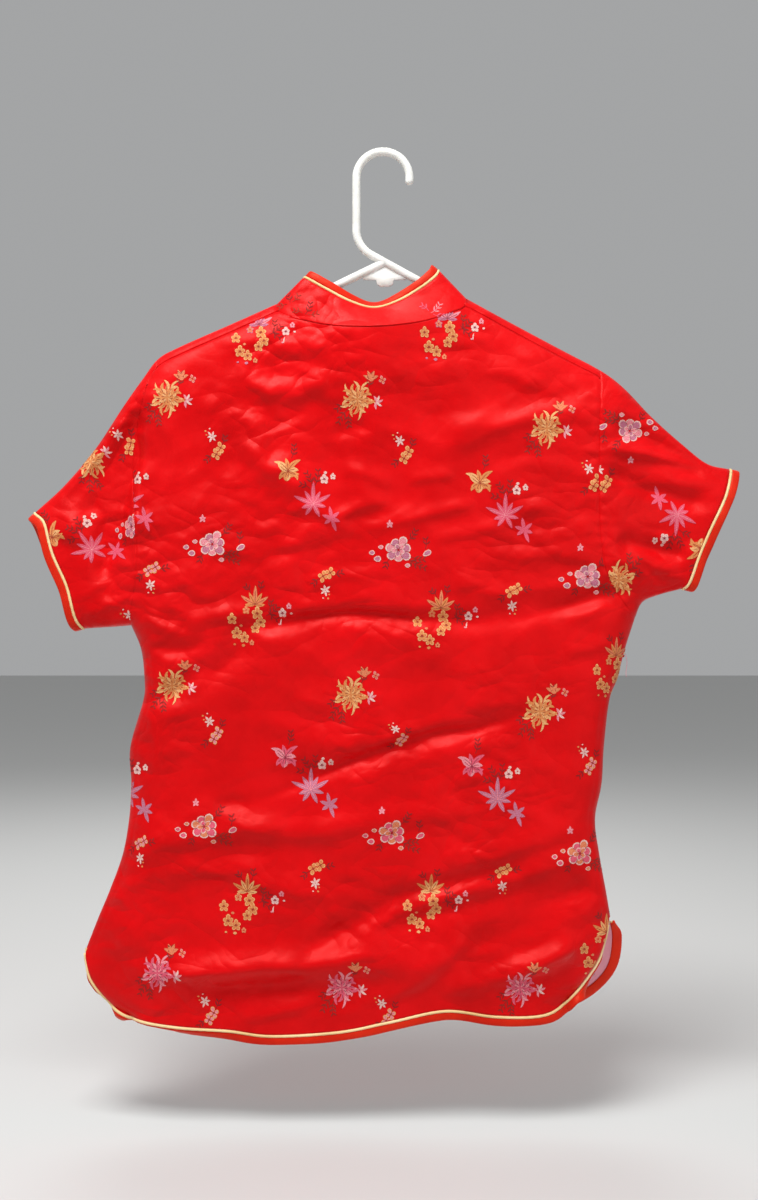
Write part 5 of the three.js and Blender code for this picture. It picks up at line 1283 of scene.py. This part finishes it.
class Motif:
    """Strokes of woven thread: grids of points, a tone and a layer, in mm about the motif's centre."""

    def __init__(self):
        self.strokes = []

    def blade(self, x, y, degrees, length, width, bend=0.0, tone="gold", shape="leaf", layer=1):
        count = max(4, int(length / 1.6) + 2)
        t = np.linspace(0, 1, count)
        angle = math.radians(degrees) + math.radians(bend) * t
        step = length / (count - 1)
        px = x + np.concatenate([[0], np.cumsum(np.cos(angle[:-1]) * step)])
        py = y + np.concatenate([[0], np.cumsum(np.sin(angle[:-1]) * step)])
        shares = {
            "leaf": np.sin(math.pi * np.clip(0.06 + 0.92 * t, 0, 1)) ** 0.8,
            "petal": np.sqrt(np.clip(1 - (1.9 * t - 0.95) ** 2, 0.02, 1)) * (0.65 + 0.35 * t),
            "line": np.ones(count),
        }
        across = np.stack([-np.sin(angle), np.cos(angle)], axis=1) * (shares[shape] * width / 2)[:, None]
        spine = np.stack([px, py], axis=1)
        steps = np.linspace(-1, 1, 3 + 2 * int(width / 5))
        self.strokes.append((np.stack([spine + across * k for k in steps], axis=1), tone, layer))
        return self

    def round_about(self, count, start, radius, length, width, bend, tones, shape="leaf", layer=1,
                    x=0.0, y=0.0):
        """Strokes that stand round a centre."""
        for k in range(count):
            a = start + 360 * k / count
            c, s = math.cos(math.radians(a)), math.sin(math.radians(a))
            uneven = length * (1 + 0.16 * math.sin(2.4 * k + start))
            tone = tones[k % len(tones)]
            self.blade(x + radius * c, y + radius * s, a, uneven, width, bend, tone, shape, layer)
        return self

    def disc(self, x, y, radius, tone, layer=2):
        return self.blade(x - radius, y, 0, 2 * radius, 2 * radius, 0, tone, "petal", layer)

    def blossom(self, x, y, radius, tone, heart="rust", petals=5, rim=None):
        turn, foot = 18, 0.2 * radius
        if rim:
            self.round_about(petals, turn, foot, radius, 1.05 * radius, 0, [rim], "petal", 1, x, y)
        width = 0.74 * radius if rim else radius
        self.round_about(petals, turn, foot, 0.8 * radius, width, 0, [tone], "petal", 2, x, y)
        if heart:
            long, wide = 0.42 * radius, 0.18 * radius
            self.round_about(petals, turn + 36, 0.0, long, wide, 0, [heart], "leaf", 3, x, y)
        return self

    def twigs(self, tone, *rows):
        """Thin bending twigs with pairs of small leaves; each row has x, y, degrees and length."""
        bend = 35
        for x, y, degrees, length in rows:
            self.blade(x, y, degrees, length, 0.5, bend, tone, "line", 0)
            pairs = max(2, int(length / 4))
            for k in range(pairs):
                t = (k + 1) / (pairs + 0.2)
                a = math.radians(degrees + bend * t / 2)
                lx, ly = x + length * t * math.cos(a), y + length * t * math.sin(a)
                for way in (-1, 1):
                    turn = degrees + bend * t + 54 * way
                    self.blade(lx, ly, turn, TWIG_LEAF * (1.15 - 0.4 * t), 1.25, -30 * way, tone)
        return self


def chrysanthemum(main, light, bud, line):
    m = Motif().twigs("olive", (-8, -9, 215, 15), (-7, -12, 250, 12), (9, 9, 62, 14))
    m.twigs("brown", (-11, -4, 196, 9)).disc(0, 0, 8.0, main, 0)
    m.round_about(12, 4, 6.0, 8.4, 2.9, -82, [main, main, light])
    m.round_about(7, 30, 7.0, 9.6, 2.5, 78, [main, light], layer=2)
    m.round_about(5, 285, 9.0, 9.5, 2.0, -60, [light])
    m.round_about(11, 12, 3.8, 6.0, 2.6, 62, [light, main, main], layer=2)
    m.round_about(8, 0, 1.2, 4.4, 2.0, 60, [main, light], layer=3)
    m.round_about(10, 20, 2.6, 3.2, 0.6, 40, [line], layer=4)
    m.round_about(12, 6, 6.4, 3.8, 0.6, -40, [line], layer=4)
    for k in range(4):
        m.blade(12, 17, 40 + 32 * k, 9.2 - abs(k - 1.5), 3.0, -30 + 20 * k, bud)
    m.disc(12.5, 17.5, 2.2, bud).blossom(22.5, 17.0, 3.0, bud, None, 4, rim="rose")
    for k in range(5):
        m.blade(17, -2, 250 + 52 * k, 7.4 - 0.5 * k, 2.2, 48, "white" if k % 2 else "rose")
    return m


def bamboo(main, light, blossom, rim):
    m = Motif().twigs("brown", (4, 20, 62, 9), (-4, 20, 110, 7))
    blades = [(186, 9, -16), (152, 15, -10), (118, 12, -4), (88, 17, 0), (56, 12, 5), (26, 14, 10),
              (-8, 9, 16)]
    for k, (a, long, bend) in enumerate(blades):
        m.blade(0, 9, a, long, 3.5, bend, main if k % 2 else light)
        m.blade(0, 9, a, long * 0.7, 0.45, 0, rim, "line", 2)
    flowers = [(2, 1, 4.6), (5, -7, 4.2), (0, -12.5, 3.8), (-21, -4, 4.0), (-17, -17, 4.4), (-10, -21, 4.0)]
    for x, y, r in flowers:
        m.blossom(x, y, r, blossom, rim="pale_gold")
    m.blossom(-8, 4, 3.0, "peach", None, rim=light).disc(-13, -10, 1.4, "peach").disc(-11, -28, 1.6, light)
    m.disc(-19, -27, 1.1, light).blossom(-3, -25.5, 2.4, "peach", None)
    m.twigs("brown", (10, -1, 20, 13), (12, 3, 300, 11)).twigs("olive", (13, 4, 60, 8))
    m.blossom(25, 1.5, 4.0, "white", "plum").blossom(31, 7.5, 2.6, "rose", None).disc(33, 1, 1.2, "white")
    return m.blade(24, -4, 250, 6, 1.2, 40, "white").disc(22, -9, 1.1, "rose")


def peony(main, light):
    m = Motif().twigs("brown", (8, 8, 35, 12)).twigs("olive", (8, -7, 312, 18), (11, -6, 330, 12))
    m.twigs("brown", (-8, -8, 225, 8))
    m.round_about(7, 12, 3.6, 8.0, 9.0, 0, ["white"], "petal", 0)
    m.round_about(7, 12, 3.8, 6.6, 7.2, 0, [main, light], "petal", 1)
    m.round_about(5, 40, 1.0, 5.4, 5.2, 20, ["white"], "petal", 2)
    m.round_about(5, 40, 1.0, 4.4, 4.0, 20, [light, main], "petal", 3)
    m.round_about(7, 38, 5.0, 4.6, 0.6, 24, ["plum"], "leaf", 3)
    m.round_about(6, 0, 0.4, 2.8, 0.6, 30, ["plum"], layer=4)
    drops = [(-16, 2.5, 2.3, light), (-24, -2.5, 2.6, main), (-19, -8, 3.2, main), (8, -14, 2.4, light)]
    for x, y, r, tone in drops:
        m.disc(x, y, r, "white", 1).disc(x, y, r * 0.72, tone, 2)
    m.blade(22, -5, 30, 8.0, 6.0, 0, "white", "petal").blade(23, -4.4, 30, 6.2, 4.2, 0, main, "petal", 2)
    return m.twigs("brown", (24, 1, 70, 9))


def curly(main, light, star, line):
    m = Motif().disc(1, -3, 6.4, main, 0)
    petals = [(118, 16, 62), (66, 16, -50), (92, 12, 20), (160, 13, -55), (196, 11, 60), (236, 9, 50),
              (284, 9, -50), (322, 11, 60), (356, 13, -85), (30, 10, -60)]
    for k, (a, long, bend) in enumerate(petals):
        m.blade(0, -3, a, long, 4.2, bend, main if k % 3 else light, "leaf", 1 + k % 2)
        m.blade(0, -3, a, long * 0.62, 0.5, bend * 0.6, line, "line", 3)
    m.twigs("brown", (3, 9, 62, 12), (22, -16, 96, 13), (24, -16, 60, 15), (20, -18, 140, 9))
    m.blossom(33, -9.5, 4.2, "white", "plum").blossom(41, -7, 2.8, "white", None).disc(34, -3.5, 1.5, "white")
    rays = [(92, 20), (58, 13), (126, 14), (26, 18), (160, 19), (196, 11), (-10, 12), (232, 12), (300, 13)]
    for k, (a, long) in enumerate(rays):
        m.blade(23, -32, a, long, 3.9, 6 if k % 2 else -6, star)
        m.blade(23, -32, a, long * 0.75, 0.45, 0, "rose", "line", 2)
    m.disc(23, -32, 2.2, star, 2)
    for a, long in ((100, 11), (40, 9), (160, 9), (215, 8), (290, 12), (340, 8)):
        m.blade(40, -45, a, long, 3.4, 0, star)
    return m


def sprig(main, upper):
    m = Motif().round_about(6, 10, 0.4, 4.6, 2.0, 0, [upper], x=-3, y=9)
    m.disc(-9, 14, 1.0, "gold").disc(-8, 10.5, 0.8, "gold").disc(-5, 16, 0.8, upper)
    for x, y in ((5, -1), (1, -7)):
        m.blossom(x, y, 4.2, main, petals=4, rim="pale_gold")
    return m.twigs("brown", (-1, -7, 200, 9), (6, 2, 50, 8))


def leaves(main, second):
    m = Motif().twigs(main, (0, 0, 30, 12)).twigs(second, (2, -1, 330, 9), (-2, 2, 120, 8))
    return m.disc(4, 3, 1.0, second)


def tiny(main):
    return Motif().round_about(5, 90, 0.3, 3.2, 2.2, 0, [main])


MOTIFS = {
    "gold_mum": chrysanthemum("gold", "pale_gold", "peach", "bronze"),
    "pink_mum": chrysanthemum("pink", "rose", "peach", "plum"),
    "peach_bamboo": bamboo("peach", "gold", "gold", "bronze"),
    "pink_bamboo": bamboo("rose", "lilac", "gold", "plum"),
    "gold_bamboo": bamboo("gold", "pale_gold", "gold", "bronze"),
    "lilac_peony": peony("lilac", "rose"), "rose_peony": peony("pink", "peach"),
    "gold_curly": curly("gold", "pale_gold", "pink", "bronze"),
    "pink_curly": curly("pink", "rose", "lilac", "plum"),
    "gold_sprig": sprig("gold", "white"), "rose_sprig": sprig("rose", "white"), "tiny": tiny("rose"),
    "leaves": leaves("brown", "rust"), "pink_leaves": leaves("rose", "pink"),
}


def placed(rows):
    """Kind, x, z and degrees of each motif, from rows of a kind, its degrees and its places."""
    return [(kind, x, z, degrees) for kind, degrees, places in rows for x, z in places]


PLACES_BACK = placed([
    ("gold_mum", 0, [(-194, -222), (-23, -224), (147, -250), (-190, -481), (-29, -489), (141, -504)]),
    ("pink_mum", 0, [(-202, -738), (-37, -752), (123, -752)]),
    ("pink_bamboo", 0, [(-112, -164), (58, -160)]),
    ("peach_bamboo", 0, [(-115, -417), (52, -420), (210, -463)]),
    ("gold_bamboo", 0, [(-122, -675), (43, -675), (202, -714)]),
    ("lilac_peony", 0, [(-153, -354), (14, -359), (184, -383)]),
    ("rose_peony", 0, [(-160, -607), (8, -613), (177, -632)]),
    ("gold_curly", 0, [(-85, -286), (87, -296)]), ("pink_curly", 0, [(-88, -543), (80, -551)]),
    ("gold_curly", 0, [(-254, -286)]), ("pink_curly", 0, [(-255, -548)]),
    ("gold_sprig", 0, [(-151, -266), (18, -270), (188, -295)]),
    ("rose_sprig", 0, [(-153, -522), (14, -527), (184, -550), (-157, -774), (2, -775)]),
    ("gold_sprig", 150, [(-50, -386), (118, -400), (-59, -649), (109, -652)]),
    ("rose_sprig", 150, [(-207, -381), (-217, -627)]),
    ("tiny", 0, [(-162, -331), (6, -336), (177, -357), (-168, -586), (-1, -593), (168, -611)]),
])
PLACES_LEFT = placed([
    ("gold_mum", 40, [(-265, -279)]), ("gold_curly", 34, [(-300, -345)]), ("lilac_peony", 0, [(-226, -338)]),
    ("gold_sprig", 20, [(-234, -262)]), ("rose_sprig", 30, [(-222, -424)]),
])
PLACES_RIGHT = placed([
    ("lilac_peony", 180, [(223, -251)]), ("gold_curly", 176, [(286, -360)]), ("gold_mum", 176, [(212, -386)]),
    ("gold_sprig", 0, [(197, -296)]), ("tiny", 0, [(223, -278)]),
])
PLACES_COLLAR = placed([
    ("leaves", 20, [(-70, -147)]), ("leaves", 60, [(-84, -136)]), ("pink_leaves", 0, [(43, -146)]),
])
FRONT_SHIFT = (28, -36)


def motif_piece(name, cloth, places, side, shift=(0, 0)):
    """The motifs woven into a piece of cloth, as thin faces that follow it and end at its edges."""
    plan, faces, tones, layers = [], [], [], []
    count = 0
    for kind, x0, z0, degrees in places:
        x0, z0 = x0 + shift[0], z0 + shift[1]
        _, normal, met = on_cloth(cloth, np.array([x0]), np.array([z0]), side)
        nx, ny, nz = normal[0] if met[0] else (0, 1, 0)
        squeeze = np.clip((abs(ny) / math.hypot(nx, ny), abs(ny) / math.hypot(ny, nz)), MOST_SQUEEZED, 1)
        c, s = math.cos(math.radians(degrees)), math.sin(math.radians(degrees))
        turn = np.array([[c, s], [-s, c]]) @ np.diag([-side, 1])
        for stroke, tone, layer in MOTIFS[kind].strokes:
            size = stroke.shape[0] * stroke.shape[1]
            plan.append(((stroke @ turn) * squeeze + (x0, z0)).reshape(-1, 2))
            index = count + np.arange(size).reshape(stroke.shape[:2])
            faces.append(quads(index))
            tones.append(np.broadcast_to(TONES[tone], (size, 3)))
            layers.append(np.full(size, layer))
            count += size
    plan, faces, tones, layers = np.vstack(plan), np.vstack(faces), np.vstack(tones), np.concatenate(layers)
    points, normals, met = on_cloth(cloth, plan[:, 0], plan[:, 1], side)
    faces = faces[met[faces].all(axis=1)]
    used, faces = np.unique(faces, return_inverse=True)
    faces = faces.reshape(-1, 4)
    lift = DECAL_LIFT + DECAL_LAYER * layers[used]
    points = points[used] + normals[used] * lift[:, None]
    a, b, c, d = (points[faces[:, k]] for k in range(4))
    inwards = np.cross(c - a, d - b)[:, 1] * side < 0
    faces[inwards] = faces[inwards][:, ::-1]
    obj = to_object(name, points, faces, [THREADS], plan[used], colours=tones[used])
    dressed(obj)
    return obj


motifs = {
    "back": motif_piece("back_motifs", "back_cloth", PLACES_BACK, -1),
    "front": motif_piece("front_motifs", "front_cloth", PLACES_BACK, 1, shift=FRONT_SHIFT),
    "underlap": motif_piece("underlap_motifs", "underlap_cloth", PLACES_BACK, 1, shift=FRONT_SHIFT),
    "collar": motif_piece("collar_motifs", "collar_cloth", PLACES_COLLAR, -1),
}
for name, places in (("left", PLACES_LEFT), ("right", PLACES_RIGHT)):
    for face, label in ((-1, "back"), (1, "front")):
        motifs[f"{name}_sleeve_{label}"] = motif_piece(
            f"{name}_sleeve_{label}_motifs", f"{name}_sleeve_cloth", places, face)

# ---------------- each cloth piece in place of its node; the table also gives what each sheet was cut from
SHEETS = [  # piece, node, slot, flat size and area in metres, trims
    ("back", "back_panel", "brocade", (0.56, 0.70), 0.300, ["back_hem"]),
    ("front", "front_panel", "brocade", (0.56, 0.72), 0.285, ["front_hem", "opening"]),
    ("underlap", "front_underlap", "brocade", (0.27, 0.40), 0.052, []),
    ("lining", "front_lining", "lining", (0.088, 0.072), None, []),
    ("left_sleeve", "left_sleeve", "brocade", (0.50, 0.18), 0.036, ["left_cuff"]),
    ("right_sleeve", "right_sleeve", "brocade", (0.50, 0.18), 0.040, ["right_cuff"]),
    ("collar", "collar", "brocade", (0.41, 0.045), 0.0135, ["collar"]),
]
for name, node, slot, flat, area, edges in SHEETS:
    dressed(pieces[name], node)

# ---------------- hanger
HANGER = {
    "hook_z": -20.3, "stem_corner_z": -82.6, "neck_radius": 25.5, "end_radius": 13,
    "right_end": (210, -211.4), "right_low": (213, -237.5),
    "left_low": (-207, -222), "left_end": (-203, -193),
    "left_kink": (-98, -145), "kink_radius": 60, "junction": (1.7, -96.8),
}
GUSSET = [(23, -107.5), (21, -112.8), (10, -112.8), (9, -117), (5.5, -118.9), (-2, -118.9), (-5.5, -117),
          (-6.5, -112.8), (-18, -112.8), (-20, -106.5)]


def fillet(before, corner, after, radius):
    """An arc that rounds the corner between two straight stretches."""
    before, corner, after = (np.array(p, float) for p in (before, corner, after))
    a, b = unit(before - corner), unit(after - corner)
    half = math.acos(float(a @ b)) / 2
    start, end = corner + a * radius / math.tan(half), corner + b * radius / math.tan(half)
    centre = corner + unit(a + b) * radius / math.sin(half)
    t = np.linspace(0, 1, FILLET_STEPS + 1)[:, None]
    return centre + unit(start * (1 - t) + end * t - centre) * radius


def hanger_path():
    h = HANGER
    angle = np.radians(np.linspace(-6, 180, 48))
    hook = np.array((0, h["hook_z"])) + HOOK_RADIUS * np.stack([np.cos(angle), np.sin(angle)], axis=1)
    corners = [
        ((-HOOK_RADIUS, h["hook_z"]), None), ((-HOOK_RADIUS, h["stem_corner_z"]), h["neck_radius"]),
        (h["right_end"], h["end_radius"]), (h["right_low"], h["end_radius"]),
        (h["left_low"], h["end_radius"]), (h["left_end"], h["end_radius"]),
        (h["left_kink"], h["kink_radius"]), (h["junction"], None)]
    path = [hook]
    for k, (at, radius) in enumerate(corners):
        if radius:
            path.append(fillet(corners[k - 1][0], at, corners[k + 1][0], radius))
        elif k:
            path.append(np.array([at], float))
    return np.vstack(path)


def round_tube(path, radius):
    """A tube with rounded ends along a path of x and z."""
    plan = np.stack([path[:, 0], np.zeros(len(path)), path[:, 1]], axis=1)
    along = tangents(plan)
    across = unit(np.cross((0, 1, 0), along))
    angle = ring_angles(TUBE_SIDES)
    ring = across[:, None] * np.cos(angle) + np.array([0, 1, 0]) * np.sin(angle)
    caps = np.sin(np.radians([18, 36, 54, 72, 84]))  # where the rings of a rounded end stand
    sections = [plan[0] - along[0] * radius * t + ring[0] * radius * math.sqrt(1 - t * t) for t in caps[::-1]]
    sections += list(plan[:, None] + ring * radius)
    sections += [plan[-1] + along[-1] * radius * t + ring[-1] * radius * math.sqrt(1 - t * t) for t in caps]
    return bar(np.array(sections))


def gusset_plate():
    """The thin plate that braces the hanger's neck."""
    j = HANGER["junction"]
    outline = np.array([(j[0], j[1] + 1), *GUSSET], float)
    centre = outline.mean(axis=0)
    layers = [(-1.2, 0.97), (-0.9, 1.0), (0.9, 1.0), (1.2, 0.97)]
    sections = []
    for y, share in layers:
        ring = centre + (outline - centre) * share
        sections.append(np.stack([ring[:, 0], np.full(len(ring), y), ring[:, 1]], axis=1))
    return bar(np.array(sections))


def joined_mesh(name, parts, material):
    points, faces, start = [], [], 0
    for p, f in parts:
        points.append(p)
        faces += [[i + start for i in face] for face in f]
        start += len(p)
    points = np.vstack(points)
    return to_object(name, points, faces, [material], points[:, [0, 2]] + points[:, [1, 1]])


hanger_parts = [round_tube(hanger_path(), TUBE_RADIUS), gusset_plate()]
dressed(joined_mesh("hanger_tube", hanger_parts, PLASTIC), "hanger")

# ---------------- frogs
# Name, share of the opening's length, and the frog's own length.
FROGS = [("frog_neck", 0.035, 44), ("frog_breast", 0.45, 52), ("frog_side", 0.9, 44)]
KNOT_LIFT, KNOT_RADIUS, KNOT_CORD = 4.6, 2.6, 1.25
LOOP_START, LOOP_HALF_WIDTH = 2.4, 1.35


def cord_tube(path, radius, sides=8):
    along = tangents(path)
    across = unit(np.cross((0, 1, 0), along))
    up = np.cross(along, across)
    angle = ring_angles(sides)
    return bar(path[:, None] + radius * (across[:, None] * np.cos(angle) + up[:, None] * np.sin(angle)))


def frog(name, share, length):
    """Two flat loops of cord and a knot between them, across the opening."""
    path = track(OPENING, 400)
    centre = at_shares(path, [share])[0]
    ahead = at_shares(path, [share + 0.005])[0]
    along = unit(ahead - centre)
    across = np.array([-along[1], along[0]])
    reach = length / 2
    parts = []
    for way in (-1, 1):
        t = np.linspace(0, 1, 44)
        out = LOOP_START + (reach - LOOP_START) * np.sin(math.pi * t) ** 0.62
        side = LOOP_HALF_WIDTH * np.sign(0.5 - t) * np.abs(2 * t - 1) ** 0.12
        side = side * (1 + 0.25 * np.sin(math.pi * t))
        loop = centre + way * out[:, None] * across + side[:, None] * along
        parts.append(cord_tube(on_face(loop, 1) + (0, FROG_LIFT + CORD_RADIUS, 0), CORD_RADIUS))
    knot = on_face(centre[None], 1)[0] + (0, KNOT_LIFT, 0)
    for turn in range(3):
        a = np.linspace(0, 2 * math.pi, 26)
        tilt = math.radians(60 * turn)
        ring = np.stack([np.cos(a), 0.45 * np.sin(a) * math.cos(tilt), np.sin(a) * math.sin(tilt + 0.6)], 1)
        parts.append(cord_tube(knot + KNOT_RADIUS * ring, KNOT_CORD))
    dressed(joined_mesh(f"{name}_cord", parts, BINDING_SATIN), name)


for row in FROGS:
    frog(*row)

# ---------------- tacks at the slits, and a loose thread
TACKS = [("right", 204.6, -696), ("left", -268.5, -722)]  # side, x, z
TACK_STITCHES, TACK_THREAD, LOOSE_THREAD = 5, 0.42, 0.22
for name, x, z in TACKS:
    parts = []
    for k in range(TACK_STITCHES):
        t = np.linspace(0, 1, 9)[:, None]
        start = np.array([x - 2.2, -1.2 - 0.1 * k, z + 1.4 - 0.75 * k])
        end = np.array([x + 1.6, 0.9, z + 0.6 - 0.75 * k])
        bow = np.array([0, -0.9, 0.0]) * np.sin(math.pi * t)
        parts.append(cord_tube(start * (1 - t) + end * t + bow, TACK_THREAD, 6))
    dressed(joined_mesh(f"{name}_slit_tack", parts, PIPING_SATIN))
t = np.linspace(0, 1, 26)
thread = np.stack([220 + 2.5 * t + 1.2 * np.sin(5 * t), 0.6 - 1.6 * t, -452 - 22 * t], axis=1)
dressed(joined_mesh("loose_thread", [cord_tube(thread, LOOSE_THREAD, 6)], LINING))

# ---------------- floor, camera and lights
FLOOR_REACH = 8
CAMERA_PLACE, CAMERA_LENS, CAMERA_SENSOR = (-0.0036, -1.35, -0.404), 44.5, 36
WORLD_COLOUR, WORLD_STRENGTH = (0.86, 0.87, 0.88, 1), 0.43

floor_mesh = bpy.data.meshes.new("floor")
corners = [(-1, -1), (1, -1), (1, 1), (-1, 1)]
corners = [(FLOOR_REACH * x, FLOOR_REACH * y, FLOOR_Z / 1000) for x, y in corners]
floor_mesh.from_pydata(corners, [], [(0, 1, 2, 3)])
floor_nodes = Nodes("floor_paint")
floor_nodes.set(Base_Color=(0.6, 0.6, 0.59, 1), Roughness=0.9)
floor_mesh.materials.append(floor_nodes.material)
linked("floor", floor_mesh)

camera_data = bpy.data.cameras.new("camera")
camera_data.lens = CAMERA_LENS
camera_data.sensor_width = CAMERA_SENSOR
camera = linked("camera", camera_data)
camera.location = CAMERA_PLACE
camera.rotation_euler = (math.radians(90), 0, 0)
bpy.context.scene.camera = camera

LIGHTS = [  # name, place, aim, size, watts
    ("key", (-0.35, -0.95, 1.35), (0, 0, -0.5), 0.9, 50),
    ("fill", (1.2, -1.8, 0.0), (0, 0, -0.45), 1.2, 6),
    ("back", (-0.3, 1.5, 0.9), (0, 0, -0.45), 1.2, 16),
]
for name, place, aim, size, watts in LIGHTS:
    data = bpy.data.lights.new(name, "AREA")
    data.shape = "SQUARE"
    data.size = size
    data.energy = watts
    light = linked(name, data)
    light.location = place
    way = np.array(aim) - np.array(place)
    tilt = math.acos(-way[2] / np.linalg.norm(way))
    light.rotation_euler = (tilt, 0, math.atan2(way[1], way[0]) - math.pi / 2)
    light.visible_glossy = name != "back"  # it would whiten the shoulders' edge

world = bpy.data.worlds.new("world")
bpy.context.scene.world = world
world.use_nodes = True
world.node_tree.nodes["Background"].inputs[0].default_value = WORLD_COLOUR
world.node_tree.nodes["Background"].inputs[1].default_value = WORLD_STRENGTH
bpy.context.scene.view_settings.view_transform = "Standard"
